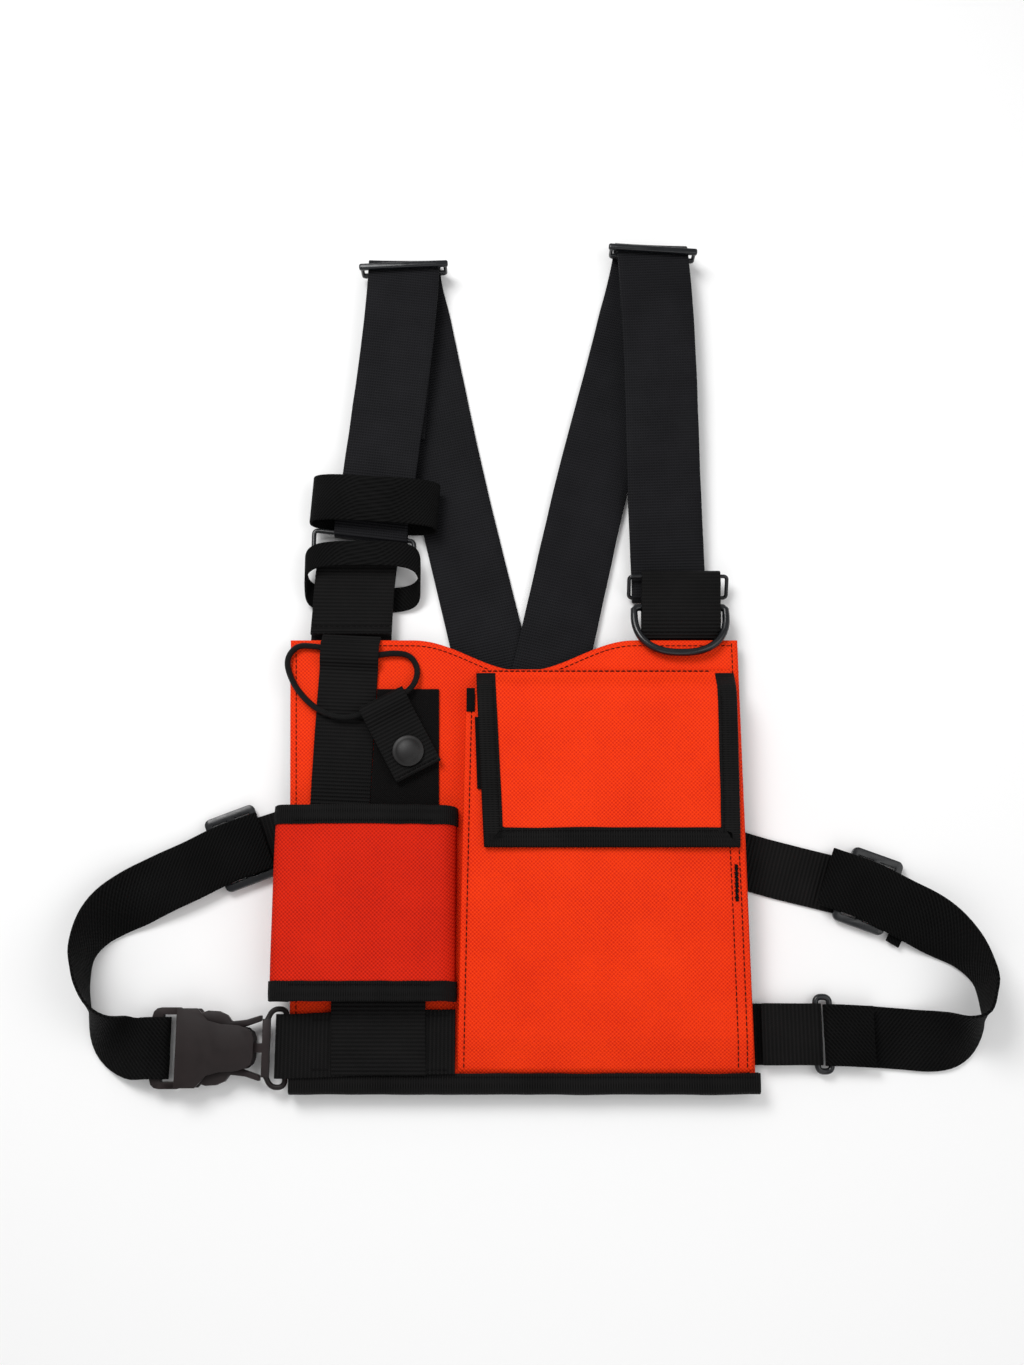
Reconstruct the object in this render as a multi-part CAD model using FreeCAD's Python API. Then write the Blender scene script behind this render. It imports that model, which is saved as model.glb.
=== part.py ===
import FreeCAD
import Part
import math
import os

V = FreeCAD.Vector

# Radio chest harness lying flat, face up. X runs across the wearer's chest, Y towards the
# shoulders and Z up. Lengths are in millimetres and are first laid out from the centre of
# the chest panel, with the floor at z = 0.

# chest panel
PANEL_TOP = 110.0
PANEL_BOTTOM = -111.0
PANEL_LEFT_TOP = -116.5
PANEL_LEFT_BOTTOM = -109.5
PANEL_RIGHT = 111.0
NECK_CENTRE = 2.0
NECK_HALF_WIDTH = 56.0
NECK_DEPTH = 16.0
LINING_Z = (4.9, 5.6)
FOAM_Z = (5.9, 8.9)
FRONT_Z = (9.2, 10.0)

# main pocket and its flap
POCKET_LEFT_TOP = -27.0
POCKET_LEFT_BOTTOM = -30.0
POCKET_RIGHT_TOP = 108.0
POCKET_RIGHT_BOTTOM = 110.8
POCKET_MOUTH_Y = 80.0
POCKET_BELLY_Y = 30.0
POCKET_BOTTOM_Y = -101.5
POCKET_MOUTH_Z = 18.0
POCKET_BELLY_Z = 20.0
POCKET_BOTTOM_Z = 15.0
CLOTH = 0.8               # coated pocket cloth
FLAP_HINGE = (89.5, 11.4)         # y and z of the flap's fold line
FLAP_BOTTOM_Y = 3.5
FLAP_THICK = 1.6

# radio band, an open sleeve standing proud of the panel
BAND_TOP_Y = 14.5
BAND_BOTTOM_Y = -60.0
BAND_TAPE = 9.5

# webbing
WEB = 1.4                 # shoulder webbing thickness
WEB_WIDTH = 38.0
LINK = 1.2                # link and side webbing thickness
LINK_WIDTH = 41.0
SIDE_WIDTH = 29.0
ELASTIC = 1.4
REAR_LEFT_Z = 0.7         # mid height of the left rear strap on the floor
REAR_RIGHT_Z = 2.4        # the right rear strap lies over the left one

# hardware
BAR = 1.2                 # radius of the ring bars
TRIGLIDE_LONG = 47.5
TRIGLIDE_RAIL = 1.6
TRIGLIDE_SLIM = 1.0       # radius of the slide's hidden bars
TRIGLIDE_BAR_Z = 7.0
BUCKLE_Z = 7.0            # mid plane of the side-release buckle
BUCKLE_THICK = 11.5
BUCKLE_Y = -91.0
CORD_D = 3.0

parts = {}


def prism(points, low, high):
    """Upright prism over a closed outline."""
    wire = Part.makePolygon([V(x, y, low) for x, y in points + points[:1]])
    return Part.Face(wire).extrude(V(0, 0, high - low))


def box(x0, x1, y0, y1, z0, z1):
    """Axis-aligned block from its limits."""
    return Part.makeBox(x1 - x0, y1 - y0, z1 - z0, V(x0, y0, z0))


def side_profile(points, x0, x1):
    """Solid whose y, z outline runs straight across from x0 to x1."""
    wire = Part.makePolygon([V(x0, y, z) for y, z in points + points[:1]])
    return Part.Face(wire).extrude(V(x1 - x0, 0, 0))


def end_profile(points, y0, y1):
    """Solid whose x, z outline runs straight along from y0 to y1."""
    wire = Part.makePolygon([V(x, y0, z) for x, z in points + points[:1]])
    return Part.Face(wire).extrude(V(0, y1 - y0, 0))


def flat_faces(corners):
    """One face over four corners, or two triangles where they do not lie in a plane."""
    a, b, c, d = corners
    normal = (b - a).cross(c - a).normalize()
    if abs((d - a).dot(normal)) < 1e-7:
        return [Part.Face(Part.makePolygon([a, b, c, d, a]))]
    return [Part.Face(Part.makePolygon([a, b, c, a])), Part.Face(Part.makePolygon([a, c, d, a]))]


def ribbon(stations, width, thick):
    """Band through stations (x, y, z, lay, tilt).

    lay is the compass angle of the band's width and tilt is how far the width leans up."""
    centres = [V(*s[:3]) for s in stations]
    sections = []
    last = len(stations) - 1
    for i, station in enumerate(stations):
        lay = math.radians(station[3])
        tilt = math.radians(station[4]) if len(station) > 4 else 0.0
        across = V(math.cos(lay) * math.cos(tilt), math.sin(lay) * math.cos(tilt), math.sin(tilt))
        run = centres[min(i + 1, last)] - centres[max(i - 1, 0)]
        if 0 < i < last:
            before = (centres[i] - centres[i - 1]).normalize()
            after = (centres[i + 1] - centres[i]).normalize()
            run = before + after
        w = across * (width / 2)
        t = across.cross(run).normalize() * (thick / 2)
        c = centres[i]
        sections.append([c - w - t, c + w - t, c + w + t, c - w + t])
    faces = [flat_faces(sections[0][::-1]), flat_faces(sections[-1])]
    for one, two in zip(sections, sections[1:]):
        for k in range(4):
            m = (k + 1) % 4
            corners = [one[k], one[m], two[m], two[k]]
            if k == 2:            # both faces of the band are split along the same diagonal
                corners = corners[1:] + corners[:1]
            faces.append(flat_faces(corners))
    shell = Part.makeShell([f for group in faces for f in group])
    shell.sewShape()
    solid = Part.Solid(shell)
    if solid.Volume < 0:
        solid.reverse()
    return solid


def fold(y, z, radius, start_deg, end_deg, steps, x, lay_start, lay_end=None, x_end=None):
    """Stations round a bar that lies across the band, in the y, z plane."""
    lay_end = lay_start if lay_end is None else lay_end
    x_end = x if x_end is None else x_end
    made = []
    for i in range(steps + 1):
        share = i / steps
        a = math.radians(start_deg + (end_deg - start_deg) * share)
        lay = lay_start + (lay_end - lay_start) * share
        made.append((x + (x_end - x) * share, y + radius * math.cos(a), z + radius * math.sin(a), lay))
    return made


def rod(a, b, radius):
    """Round bar between two points."""
    a, b = V(*a), V(*b)
    return Part.makeCylinder(radius, (b - a).Length, a, b - a)


def bar_frame(points, radius):
    """Closed frame of one round bar, bent at each corner."""
    corners = [V(*p) for p in points]
    bend = 2 * radius
    runs = []
    for before, here, after in zip(corners[-1:] + corners[:-1], corners, corners[1:] + corners[:1]):
        back = (before - here).normalize()
        on = (after - here).normalize()
        half_turn = (math.pi - back.getAngle(on)) / 2
        reach = bend * math.tan(half_turn)
        inward = (back + on).normalize()
        middle = here + inward * (bend / math.cos(half_turn) - bend)
        runs.append((here + back * reach, middle, here + on * reach))
    edges = []
    for one, two in zip(runs, runs[1:] + runs[:1]):
        edges.append(Part.Arc(*one).toShape())
        edges.append(Part.LineSegment(one[2], two[0]).toShape())
    start = runs[0][0]
    section = Part.Wire(Part.makeCircle(radius, start, start - runs[-1][2]))
    return Part.Wire(edges).makePipeShell([section], True, False)


def turned(shape, angle, centre):
    """Copy turned about the vertical through centre."""
    copy = shape.copy()
    copy.rotate(V(*centre), V(0, 0, 1), angle)
    return copy


def route_tube(points, radius):
    """Tube along straight runs joined by tangent arcs."""
    pts = [V(*p) for p in points]
    edges = []
    radii = []
    start = pts[0]
    for before, here, after in zip(pts, pts[1:], pts[2:]):
        back = (before - here).normalize()
        on = (after - here).normalize()
        turn = math.pi - back.getAngle(on)
        reach = 0.45 * min((before - here).Length, (after - here).Length)
        radii.append(reach / math.tan(turn / 2))
        enter = here + back * reach
        leave = here + on * reach
        inward = (back + on).normalize()
        centre = here + inward * (radii[-1] / math.cos(turn / 2))
        middle = centre - inward * radii[-1]
        edges.append(Part.LineSegment(start, enter).toShape())
        edges.append(Part.Arc(enter, middle, leave).toShape())
        start = leave
    edges.append(Part.LineSegment(start, pts[-1]).toShape())
    path = Part.Wire(edges)
    section = Part.Wire(Part.makeCircle(radius, pts[0], pts[1] - pts[0]))
    tube = path.makePipeShell([section], True, False)
    print("tube length %.1f, radii %s" % (path.Length, ["%.1f" % r for r in radii]))
    print("tube volume %.1f against %.1f" % (tube.Volume, math.pi * radius ** 2 * path.Length))
    return tube


# ---------------------------------------------------------------- chest panel
def panel_outline(inset):
    """Panel outline with a scooped neckline, pulled in by inset."""
    points = [
        (PANEL_LEFT_BOTTOM + inset, PANEL_BOTTOM + inset),
        (PANEL_RIGHT + 0.8 - inset, PANEL_BOTTOM + inset),
        (PANEL_RIGHT - 0.7 - inset, PANEL_TOP - inset),
    ]
    steps = 16
    for i in range(steps + 1):
        x = NECK_CENTRE + NECK_HALF_WIDTH * (1 - 2 * i / steps)
        dip = NECK_DEPTH * (0.5 + 0.5 * math.cos(math.pi * (x - NECK_CENTRE) / NECK_HALF_WIDTH))
        points.append((x, PANEL_TOP - inset - dip))
    points.append((PANEL_LEFT_TOP + inset, PANEL_TOP - inset))
    return points


parts["back_lining"] = prism(panel_outline(0.4), *LINING_Z)
parts["foam_pad"] = prism(panel_outline(7.0), *FOAM_Z)
parts["front_panel"] = prism(panel_outline(0.0), *FRONT_Z)

# tape folded round the panel's bottom edge
tape_out = side_profile(
    [(-102.5, 4.0), (-112.4, 4.0), (-112.4, 11.0), (-102.5, 11.0)], PANEL_LEFT_BOTTOM - 0.6, 114.0
)
tape_in = side_profile(
    [(-102.0, 4.7), (-111.5, 4.7), (-111.5, 10.2), (-102.0, 10.2)], PANEL_LEFT_BOTTOM - 1.0, 115.0
)
parts["bottom_binding"] = tape_out.cut(tape_in)


# ---------------------------------------------------------------- main pocket
def pocket_block(inset, back):
    """Bellied pocket block, open edges pushed out where the cloth is not."""
    bottom = POCKET_BOTTOM_Y + inset
    top = POCKET_MOUTH_Y + (2.0 if inset else 0.0)
    profile = [
        (bottom, back),
        (top, back),
        (top, POCKET_MOUTH_Z - inset),
        (POCKET_BELLY_Y, POCKET_BELLY_Z - inset),
        (bottom, POCKET_BOTTOM_Z - inset),
    ]
    plan = [
        (POCKET_LEFT_BOTTOM + inset, POCKET_BOTTOM_Y - 1),
        (POCKET_RIGHT_BOTTOM - inset, POCKET_BOTTOM_Y - 1),
        (POCKET_RIGHT_TOP - inset, top + 1),
        (POCKET_LEFT_TOP + inset, top + 1),
    ]
    return side_profile(profile, -60, 140).common(prism(plan, 0, 60))


parts["pocket_shell"] = pocket_block(0.0, 10.2).cut(pocket_block(CLOTH, 8.0))
parts["pocket_bartack"] = box(103.6, 105.2, -22.0, -5.0, 19.9, 20.6)


def flap_profile(low, high, y_end):
    """Outline of the flap's side between two heights over the pocket."""
    hinge_y, hinge_z = FLAP_HINGE
    outer = [(hinge_y - 0.4, hinge_z + high - 0.8), (81.5, 18.6 + high), (30.0, 20.4 + high)]
    inner = [(y, z - (high - low)) for y, z in outer]
    ends = [(y_end, 20.0 + high), (y_end, 20.0 + low)]
    return outer + ends + list(reversed(inner))


def flap_plan(inset):
    """Plan of the flap, pulled in on its three free sides."""
    return [
        (-21.8 + inset, 92.0),
        (-17.8 + inset, FLAP_BOTTOM_Y + 3 + inset),
        (-14.8 + inset, FLAP_BOTTOM_Y + inset),
        (103.4 - inset, FLAP_BOTTOM_Y + inset),
        (106.4 - inset, FLAP_BOTTOM_Y + 3 + inset),
        (107.4 - inset, 92.0),
    ]


flap_block = side_profile(flap_profile(0.6, 0.6 + FLAP_THICK, 0.0), -40, 130)
tape_block = side_profile(flap_profile(0.3, 0.9 + FLAP_THICK, 0.0), -40, 130)
parts["pocket_flap"] = flap_block.common(prism(flap_plan(9.6), 0, 60))
parts["flap_binding"] = tape_block.common(prism(flap_plan(0.0), 0, 60)).cut(
    prism(flap_plan(9.5), 0, 60)
)
STRIP_BACK, STRIP_FACE = -0.4, 0.4      # the hook strip's heights under the flap
strip_block = side_profile(flap_profile(STRIP_BACK, STRIP_FACE, 0.0), -40, 130)
parts["flap_hook_strip"] = strip_block.common(box(-9.0, 94.0, 32.0, 68.0, 0, 60))
parts["pocket_loop_strip"] = box(-26.4, -22.6, 70.6, 83.0, 10.3, 17.6).common(
    box(-26.4, -22.6, 81.2, 83.0, 0, 60)
)


# ---------------------------------------------------------------- radio band
def band_section(grow):
    """Outline (x, z) of the sleeve's cross-section, grown or shrunk all round."""
    outer = [
        (-111.0, 10.3), (-119.6, 15.5), (-118.6, 22.0), (-95.0, 24.6),
        (-60.0, 24.2), (-35.2, 21.0), (-31.2, 10.3),
    ]
    middle_x, wall_z, seam_z = -75.0, 15.0, 11.0
    made = []
    for x, z in outer:
        side = grow if x > middle_x else -grow
        rise = grow if z > wall_z else 0.0
        made.append((x + side, z + rise if z > seam_z else z))
    return made


def sleeve(y0, y1, grow):
    """Open sleeve between two heights on the panel."""
    outer = end_profile(band_section(grow), y0, y1)
    hollow = [(x, z if z > 11 else 8.0) for x, z in band_section(-CLOTH - grow)]
    return outer.cut(end_profile(hollow, y0 - 5, y1 + 5))


parts["radio_band"] = sleeve(BAND_BOTTOM_Y + 0.1, BAND_TOP_Y - 0.1, 0.0)
parts["band_top_binding"] = sleeve(BAND_TOP_Y, BAND_TOP_Y + BAND_TAPE, 0.5)
parts["band_bottom_binding"] = sleeve(BAND_BOTTOM_Y - BAND_TAPE, BAND_BOTTOM_Y, 0.5)

# webbing sewn to the panel's face
LOWER_LEFT_Z = 11.9
SLING_Z = 13.4
BUCKLE_FOLD = LOWER_LEFT_Z - BUCKLE_Z     # radius of the web's turn round the buckle's bar
parts["sling_web"] = ribbon(
    [(-68.2, 6.0, SLING_Z, 0), (-68.0, -60.0, SLING_Z, 0), (-67.3, -104.2, SLING_Z, 0)], 45.0, WEB
)
parts["radio_back_web"] = ribbon(
    [
        (-85.0, 111.6, 10.95, -2.5), (-85.4, 108.4, 12.4, -2.5), (-85.6, 106.4, 14.7, -2.5),
        (-85.8, 98.6, 14.7, -2.5), (-86.0, 95.6, 12.2, -2.5), (-86.2, 92.0, 10.95, -2.5),
        (-88.8, 26.0, 10.95, -2.5), (-89.3, 10.0, 10.95, -2.5),
    ],
    29.5, LINK,
)
parts["loop_patch"] = prism([(-71.6, 84.1), (-40.6, 84.1), (-40.0, 25.0), (-74.0, 25.0)], 10.2, 11.3)
parts["lower_left_web"] = ribbon(
    [(-31.0, -88.0, LOWER_LEFT_Z, 90), (-70.0, -88.6, LOWER_LEFT_Z, 90), (-106.0, -90.0, LOWER_LEFT_Z, 90)]
    + [
        (-111.9 - BUCKLE_FOLD * math.sin(math.radians(a)), -90.2,
         BUCKLE_Z + BUCKLE_FOLD * math.cos(math.radians(a)), 90)
        for a in range(0, 181, 30)
    ]
    + [(-96.0, -89.8, BUCKLE_Z - BUCKLE_FOLD, 90)],
    30.0, LINK,
)

# right web with its ring, passing under the panel's edge
RING_R_X = (142.6, 149.3)
RING_R_Y = (-102.0, -67.0)
RING_R_Z = 3.6
parts["lower_right_web"] = ribbon(
    [(96.0, -84.6, 1.2, 90), (130.0, -84.6, 1.2, 90)]
    + [
        (RING_R_X[0] - 0.2 + 2.4 * math.sin(math.radians(a)), -84.6,
         RING_R_Z - 2.4 * math.cos(math.radians(a)), 90)
        for a in range(0, 181, 30)
    ]
    + [(116.0, -84.6, 6.0, 90)],
    29.0, LINK,
)
parts["right_ring"] = bar_frame(
    [(RING_R_X[0], RING_R_Y[0], RING_R_Z), (RING_R_X[1], RING_R_Y[0], RING_R_Z),
     (RING_R_X[1], RING_R_Y[1], RING_R_Z), (RING_R_X[0], RING_R_Y[1], RING_R_Z)],
    1.5,
)

# ---------------------------------------------------------------- left shoulder
LEFT_LAY = -6.6           # the front layer's width leans with the strap
LEFT_TURN = 2.7           # turn of the left tri-glide in plan
LEFT_TOP = (-62.0, 316.0)         # where the strap turns over its tri-glide
LEFT_RING_Y = (154.6, 166.0)      # lower and upper ring bars
RING_Z = 6.15
TOP_FOLD_Z = 6.0
TOP_FOLD_R = 5.3

left_top_x, left_top_y = LEFT_TOP
parts["left_shoulder_strap"] = ribbon(
    [(-76.6, 180.0, 4.0, LEFT_LAY)]
    + fold(LEFT_RING_Y[1], RING_Z, 2.15, 270, 90, 6, -76.9, LEFT_LAY)
    + [(-73.2, 198.0, 8.4, LEFT_LAY)]
    + fold(left_top_y, TOP_FOLD_Z, TOP_FOLD_R, 90, -90, 8, left_top_x, LEFT_LAY, 12.6, -61.5)
    + [(-55.3, 285.0, REAR_LEFT_Z, 13.0), (-37.7, 199.6, REAR_LEFT_Z, 13.4),
       (-18.6, 118.5, REAR_LEFT_Z, 13.4), (4.6, 22.0, REAR_LEFT_Z, 13.4)],
    WEB_WIDTH, WEB,
)
parts["left_return_leg"] = ribbon(
    [(-62.2, 305.0, TRIGLIDE_BAR_Z + 1.8, LEFT_TURN)]
    + fold(left_top_y - 1.4, TRIGLIDE_BAR_Z, 1.8, 90, -90, 6, -62.0, LEFT_TURN)
    + [(-62.9, 303.0, 5.3, 0.0), (-67.8, 222.0, 5.0, LEFT_LAY)],
    36.0, LINK,
)
parts["left_link_web"] = ribbon(
    [(-86.2, 96.0, 3.7, 0), (-86.0, 114.0, 3.9, 0), (-84.4, 145.0, 4.0, -1.0)]
    + fold(LEFT_RING_Y[0], RING_Z, 2.15, -90, 90, 6, -83.6, 0)
    + [(-84.4, 142.0, 8.3, -1.0), (-85.9, 113.0, 8.3, 0)],
    LINK_WIDTH, LINK,
)
ring_left, ring_right = -106.4, -54.6
ring_slope = math.tan(math.radians(LEFT_LAY))
parts["left_link_ring"] = bar_frame(
    [(ring_left, LEFT_RING_Y[0], RING_Z), (ring_right, LEFT_RING_Y[0], RING_Z),
     (ring_right, LEFT_RING_Y[1] + ring_slope * (ring_right + 76.9), RING_Z),
     (ring_left, LEFT_RING_Y[1] + ring_slope * (ring_left + 76.9), RING_Z)],
    BAR,
)


def shoulder_triglide(x, y, lift, turn):
    """Three-bar slide standing on edge inside the strap's top fold."""
    half = TRIGLIDE_LONG / 2 - TRIGLIDE_RAIL
    top, middle, low = 14.2 + lift, TRIGLIDE_BAR_Z + lift, 3.5 + lift
    slide = rod((x - half, y, top), (x + half, y, top), TRIGLIDE_RAIL)
    slide = slide.fuse(rod((x - half, y - 1.0, middle), (x + half, y - 1.0, middle), 1.05))
    slide = slide.fuse(rod((x - half, y, low), (x + half, y, low), TRIGLIDE_SLIM))
    for end in (x - half, x + half):
        slide = slide.fuse(Part.makeSphere(TRIGLIDE_RAIL, V(end, y, top)))
        slide = slide.fuse(rod((end, y, low), (end, y, top), TRIGLIDE_SLIM))
        slide = slide.fuse(Part.makeSphere(TRIGLIDE_SLIM, V(end, y, low)))
    return turned(slide.removeSplitter(), turn, (x, y, 0))


# ---------------------------------------------------------------- right shoulder
RIGHT_LAY = 2.2
RIGHT_TURN = -4.0
RIGHT_LIFT = 0.6          # the right strap's top fold stands this much higher
RIGHT_TOP = (71.5, 325.0)
right_top_x, right_top_y = RIGHT_TOP
RIGHT_STRAP_BAR = (134.0, 3.0)    # y and z of the ring bar in the strap's lower fold
RIGHT_TAB_BAR = (143.6, 9.4)      # y and z of the ring bar in the tab's fold
parts["right_shoulder_strap"] = ribbon(
    [(76.8, 152.0, 0.9, 1.0)]
    + fold(*RIGHT_STRAP_BAR, 2.1, 270, 90, 6, 76.8, 0)
    + [(76.3, 146.0, 5.1, 1.0), (75.6, 166.0, 8.0, RIGHT_LAY)]
    + fold(right_top_y, TOP_FOLD_Z + RIGHT_LIFT, TOP_FOLD_R, 90, -90, 8, right_top_x, RIGHT_LAY, -13.0, 69.6)
    + [(61.0, 287.0, 1.3, -13.4), (36.6, 190.0, REAR_RIGHT_Z, -13.4),
       (20.4, 118.1, REAR_RIGHT_Z, -13.4), (-1.6, 22.0, REAR_RIGHT_Z, -13.4)],
    WEB_WIDTH, WEB,
)
parts["right_return_leg"] = ribbon(
    [(71.9, 314.0, TRIGLIDE_BAR_Z + RIGHT_LIFT + 1.8, RIGHT_TURN)]
    + fold(right_top_y - 1.4, TRIGLIDE_BAR_Z + RIGHT_LIFT, 1.8, 90, -90, 6, 71.5, RIGHT_TURN)
    + [(71.8, 312.0, 5.9, 0.0), (75.0, 222.0, 5.2, RIGHT_LAY)],
    36.0, LINK,
)
parts["right_tab"] = ribbon(
    [(81.8, 96.0, 3.8, 0), (81.9, 112.0, 3.9, 0), (82.0, 120.0, 4.4, 0), (82.0, 131.0, 6.9, 0)]
    + fold(*RIGHT_TAB_BAR, 2.2, -90, 90, 6, 82.4, 0)
    + [(82.0, 131.0, 12.3, 0), (82.0, 124.0, 12.3, 0), (81.8, 111.0, 9.0, 0)],
    40.0, LINK,
)
parts["right_link_ring"] = bar_frame(
    [(56.0, *RIGHT_STRAP_BAR), (106.0, *RIGHT_STRAP_BAR), (106.0, *RIGHT_TAB_BAR), (56.0, *RIGHT_TAB_BAR)],
    1.0,
)

# D-ring: a straight bar under the tab and a bow over the panel's top edge
D_BAR = (127.0, 9.4)              # y and z of the straight bar
D_CENTRE_X = 81.4
D_SECTION = 1.9
D_HALF = 23.3
D_REACH = 25.2
D_LEAN = 11.0                     # the bow's end stands this many degrees higher
d_path = Part.Wire([
    Part.LineSegment(V(D_HALF, 0, 0), V(D_HALF, -6.0, 0)).toShape(),
    Part.Arc(V(D_HALF, -6.0, 0), V(D_HALF * 0.72, -6.0 - (D_REACH - 6.0) * 0.74, 0),
             V(0, -D_REACH, 0)).toShape(),
    Part.Arc(V(0, -D_REACH, 0), V(-D_HALF * 0.72, -6.0 - (D_REACH - 6.0) * 0.74, 0),
             V(-D_HALF, -6.0, 0)).toShape(),
    Part.LineSegment(V(-D_HALF, -6.0, 0), V(-D_HALF, 0, 0)).toShape(),
])
bow = d_path.makePipeShell(
    [Part.Wire(Part.makeCircle(D_SECTION, V(D_HALF, 0, 0), V(0, -1, 0)))], True, False
)
d_ring = bow.fuse(rod((-D_HALF, 0, 0), (D_HALF, 0, 0), D_SECTION))
for side in (-1, 1):
    d_ring = d_ring.fuse(Part.makeSphere(D_SECTION, V(side * D_HALF, 0, 0)))
d_ring = d_ring.removeSplitter()
d_ring.rotate(V(0, 0, 0), V(1, 0, 0), -D_LEAN)
d_ring.translate(V(D_CENTRE_X, *D_BAR))
parts["d_ring"] = d_ring

parts["left_shoulder_triglide"] = shoulder_triglide(left_top_x, left_top_y - 0.4, 0.0, LEFT_TURN)
parts["right_shoulder_triglide"] = shoulder_triglide(
    right_top_x, right_top_y - 0.4, RIGHT_LIFT, RIGHT_TURN
)


# ---------------------------------------------------------------- elastic loops on the left strap
def loop_band(cx, width, low, high, y_low, y_high, length, thick, turn):
    """Closed band round a strap. Its front part may sit further up than its back part."""
    def ring(shrink):
        points = []
        steps = 24
        for i in range(steps):
            a = 2 * math.pi * i / steps
            rx = width / 2 - shrink
            rz = (high - low) / 2 - shrink
            x = cx + rx * math.copysign(abs(math.cos(a)) ** 0.45, math.cos(a))
            z = (high + low) / 2 + rz * math.copysign(abs(math.sin(a)) ** 0.7, math.sin(a))
            y = y_low + (y_high - y_low) * (z - low) / (high - low)
            points.append(V(x, y, z))
        wire = Part.makePolygon(points + points[:1])
        return Part.Face(wire).extrude(V(0, length, 0))
    return turned(ring(0).cut(ring(thick)), turn, (cx, (y_low + y_high + length) / 2, 0))


parts["wide_keeper"] = loop_band(-74.9, 66.0, 1.7, 15.4, 169.0, 171.5, 24.5, 1.2, LEFT_LAY + 3)
parts["antenna_loop"] = loop_band(-80.6, 59.5, 0.5, 14.8, 125.5, 149.0, 13.0, 1.1, 0)

# ---------------------------------------------------------------- back yoke and side straps
parts["back_yoke"] = prism(
    [(-38, 12), (-26, 2), (26, 2), (38, 12), (38, 44), (22, 62), (-22, 62), (-38, 44)], 3.4, 4.6
)
parts["left_side_web"] = ribbon(
    [(-27.0, 34.0, 0.7, 100.0), (-80.0, 22.0, 0.7, 104.0), (-118.0, 9.6, 0.7, 108.0),
     (-136.0, 3.6, 0.7, 111.0)],
    SIDE_WIDTH, LINK,
)
parts["right_side_web"] = ribbon(
    [(27.0, 26.0, 0.7, 78.0), (80.0, 9.0, 0.7, 76.0), (116.0, -2.6, 0.7, 74.0), (158.0, -13.4, 0.7, 72.0)],
    SIDE_WIDTH - 1, LINK,
)


def side_triglide(x, y, turn):
    """Flat three-bar slide under the elastic, its ends standing out past the edges."""
    plate = box(x - 13, x + 13, y - 19, y + 19, 1.8, 4.4)
    plate = plate.makeFillet(3.0, [e for e in plate.Edges
                                   if abs(e.Vertexes[0].X - e.Vertexes[-1].X) < 0.01
                                   and abs(e.Vertexes[0].Y - e.Vertexes[-1].Y) < 0.01])
    for slot_x in (x - 9.5, x + 1.8):
        plate = plate.cut(box(slot_x, slot_x + 7.7, y - 15.2, y + 15.2, 0, 9))
    return turned(plate, turn, (x, y, 0))


LEFT_SIDE_SLIDE = (-138.5, 5.0, 21.0)
RIGHT_SIDE_SLIDE = (171.0, -16.0, -20.0)
parts["left_side_triglide"] = side_triglide(*LEFT_SIDE_SLIDE)
parts["right_side_triglide"] = side_triglide(*RIGHT_SIDE_SLIDE)


def rolling(stations):
    """Elastic stations (x, y, lift, lay, tilt), lift being the gap under the lower edge."""
    made = []
    for x, y, lift, lay, tilt in stations:
        lean = math.radians(tilt)
        rise = SIDE_WIDTH / 2 * abs(math.sin(lean)) + ELASTIC / 2 * abs(math.cos(lean))
        made.append((x, y, lift + rise, lay, tilt))
    return made


# side elastics: flat at the adjuster, on edge at the far bend, flat again at the ring or buckle
parts["right_elastic"] = ribbon(
    rolling([
        (150.0, -8.6, 4.9, 70, 0), (172.0, -16.6, 4.9, 70, 0), (187.0, -24.6, 4.9, 64, 3),
        (198.0, -31.0, 3.0, 56, 18), (208.5, -39.5, 0.4, 47, 42), (217.5, -50.0, 0.2, 28, 68),
        (222.8, -62.0, 0.2, 8, 86), (222.0, -74.5, 0.2, -18, 100), (215.5, -83.0, 0.2, -52, 124),
        (207.0, -87.0, 0.2, -76, 152), (197.0, -87.8, 0.2, -86, 172), (183.0, -86.8, 0.4, -88, 180),
        (166.0, -85.6, 0.5, -90, 180),
    ])
    + [
        (RING_R_X[1] + 0.2 - 2.6 * math.sin(math.radians(a)), -85.0,
         RING_R_Z - 2.6 * math.cos(math.radians(a)), -90, 180)
        for a in range(0, 181, 30)
    ]
    + [(170.0, -85.8, 6.2, -90, 180)],
    SIDE_WIDTH, ELASTIC,
)
FEMALE_BAR = (-171.8, 6.5)        # x and z of the bar that holds the left elastic
parts["left_elastic"] = ribbon(
    rolling([
        (-126.0, 9.2, 4.9, 111, 0), (-146.0, 1.6, 4.9, 111, 0), (-162.0, -6.4, 4.9, 113, 0),
        (-176.0, -13.0, 4.0, 116, 4), (-188.5, -20.0, 1.8, 120, 20), (-199.5, -28.0, 0.4, 132, 42),
        (-207.0, -38.0, 0.2, 148, 66), (-210.6, -50.0, 0.2, 168, 84), (-209.4, -62.0, 0.2, 186, 92),
        (-205.4, -73.0, 0.2, 200, 104), (-199.8, -83.0, 0.2, 226, 128), (-192.0, -89.0, 0.8, 252, 158),
        (-184.5, -91.4, 5.4, 266, 175), (-177.5, -91.0, 9.2, 270, 180),
    ])
    + [
        (FEMALE_BAR[0] + 3.4 * math.sin(math.radians(a)), BUCKLE_Y,
         FEMALE_BAR[1] + 3.4 * math.cos(math.radians(a)), 270, 180)
        for a in range(0, 181, 30)
    ]
    + [(-184.0, -91.2, 2.6, 270, 180)],
    SIDE_WIDTH, ELASTIC,
)
parts["right_elastic_tail"] = ribbon(
    [(185.2, -27.6, 2.6, 62, 0), (191.6, -31.4, 2.6, 60, 0)], SIDE_WIDTH - 1, ELASTIC
)

# ---------------------------------------------------------------- side-release buckle
half_t = BUCKLE_THICK / 2
buckle_low = BUCKLE_Z - half_t
buckle_high = BUCKLE_Z + half_t


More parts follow.
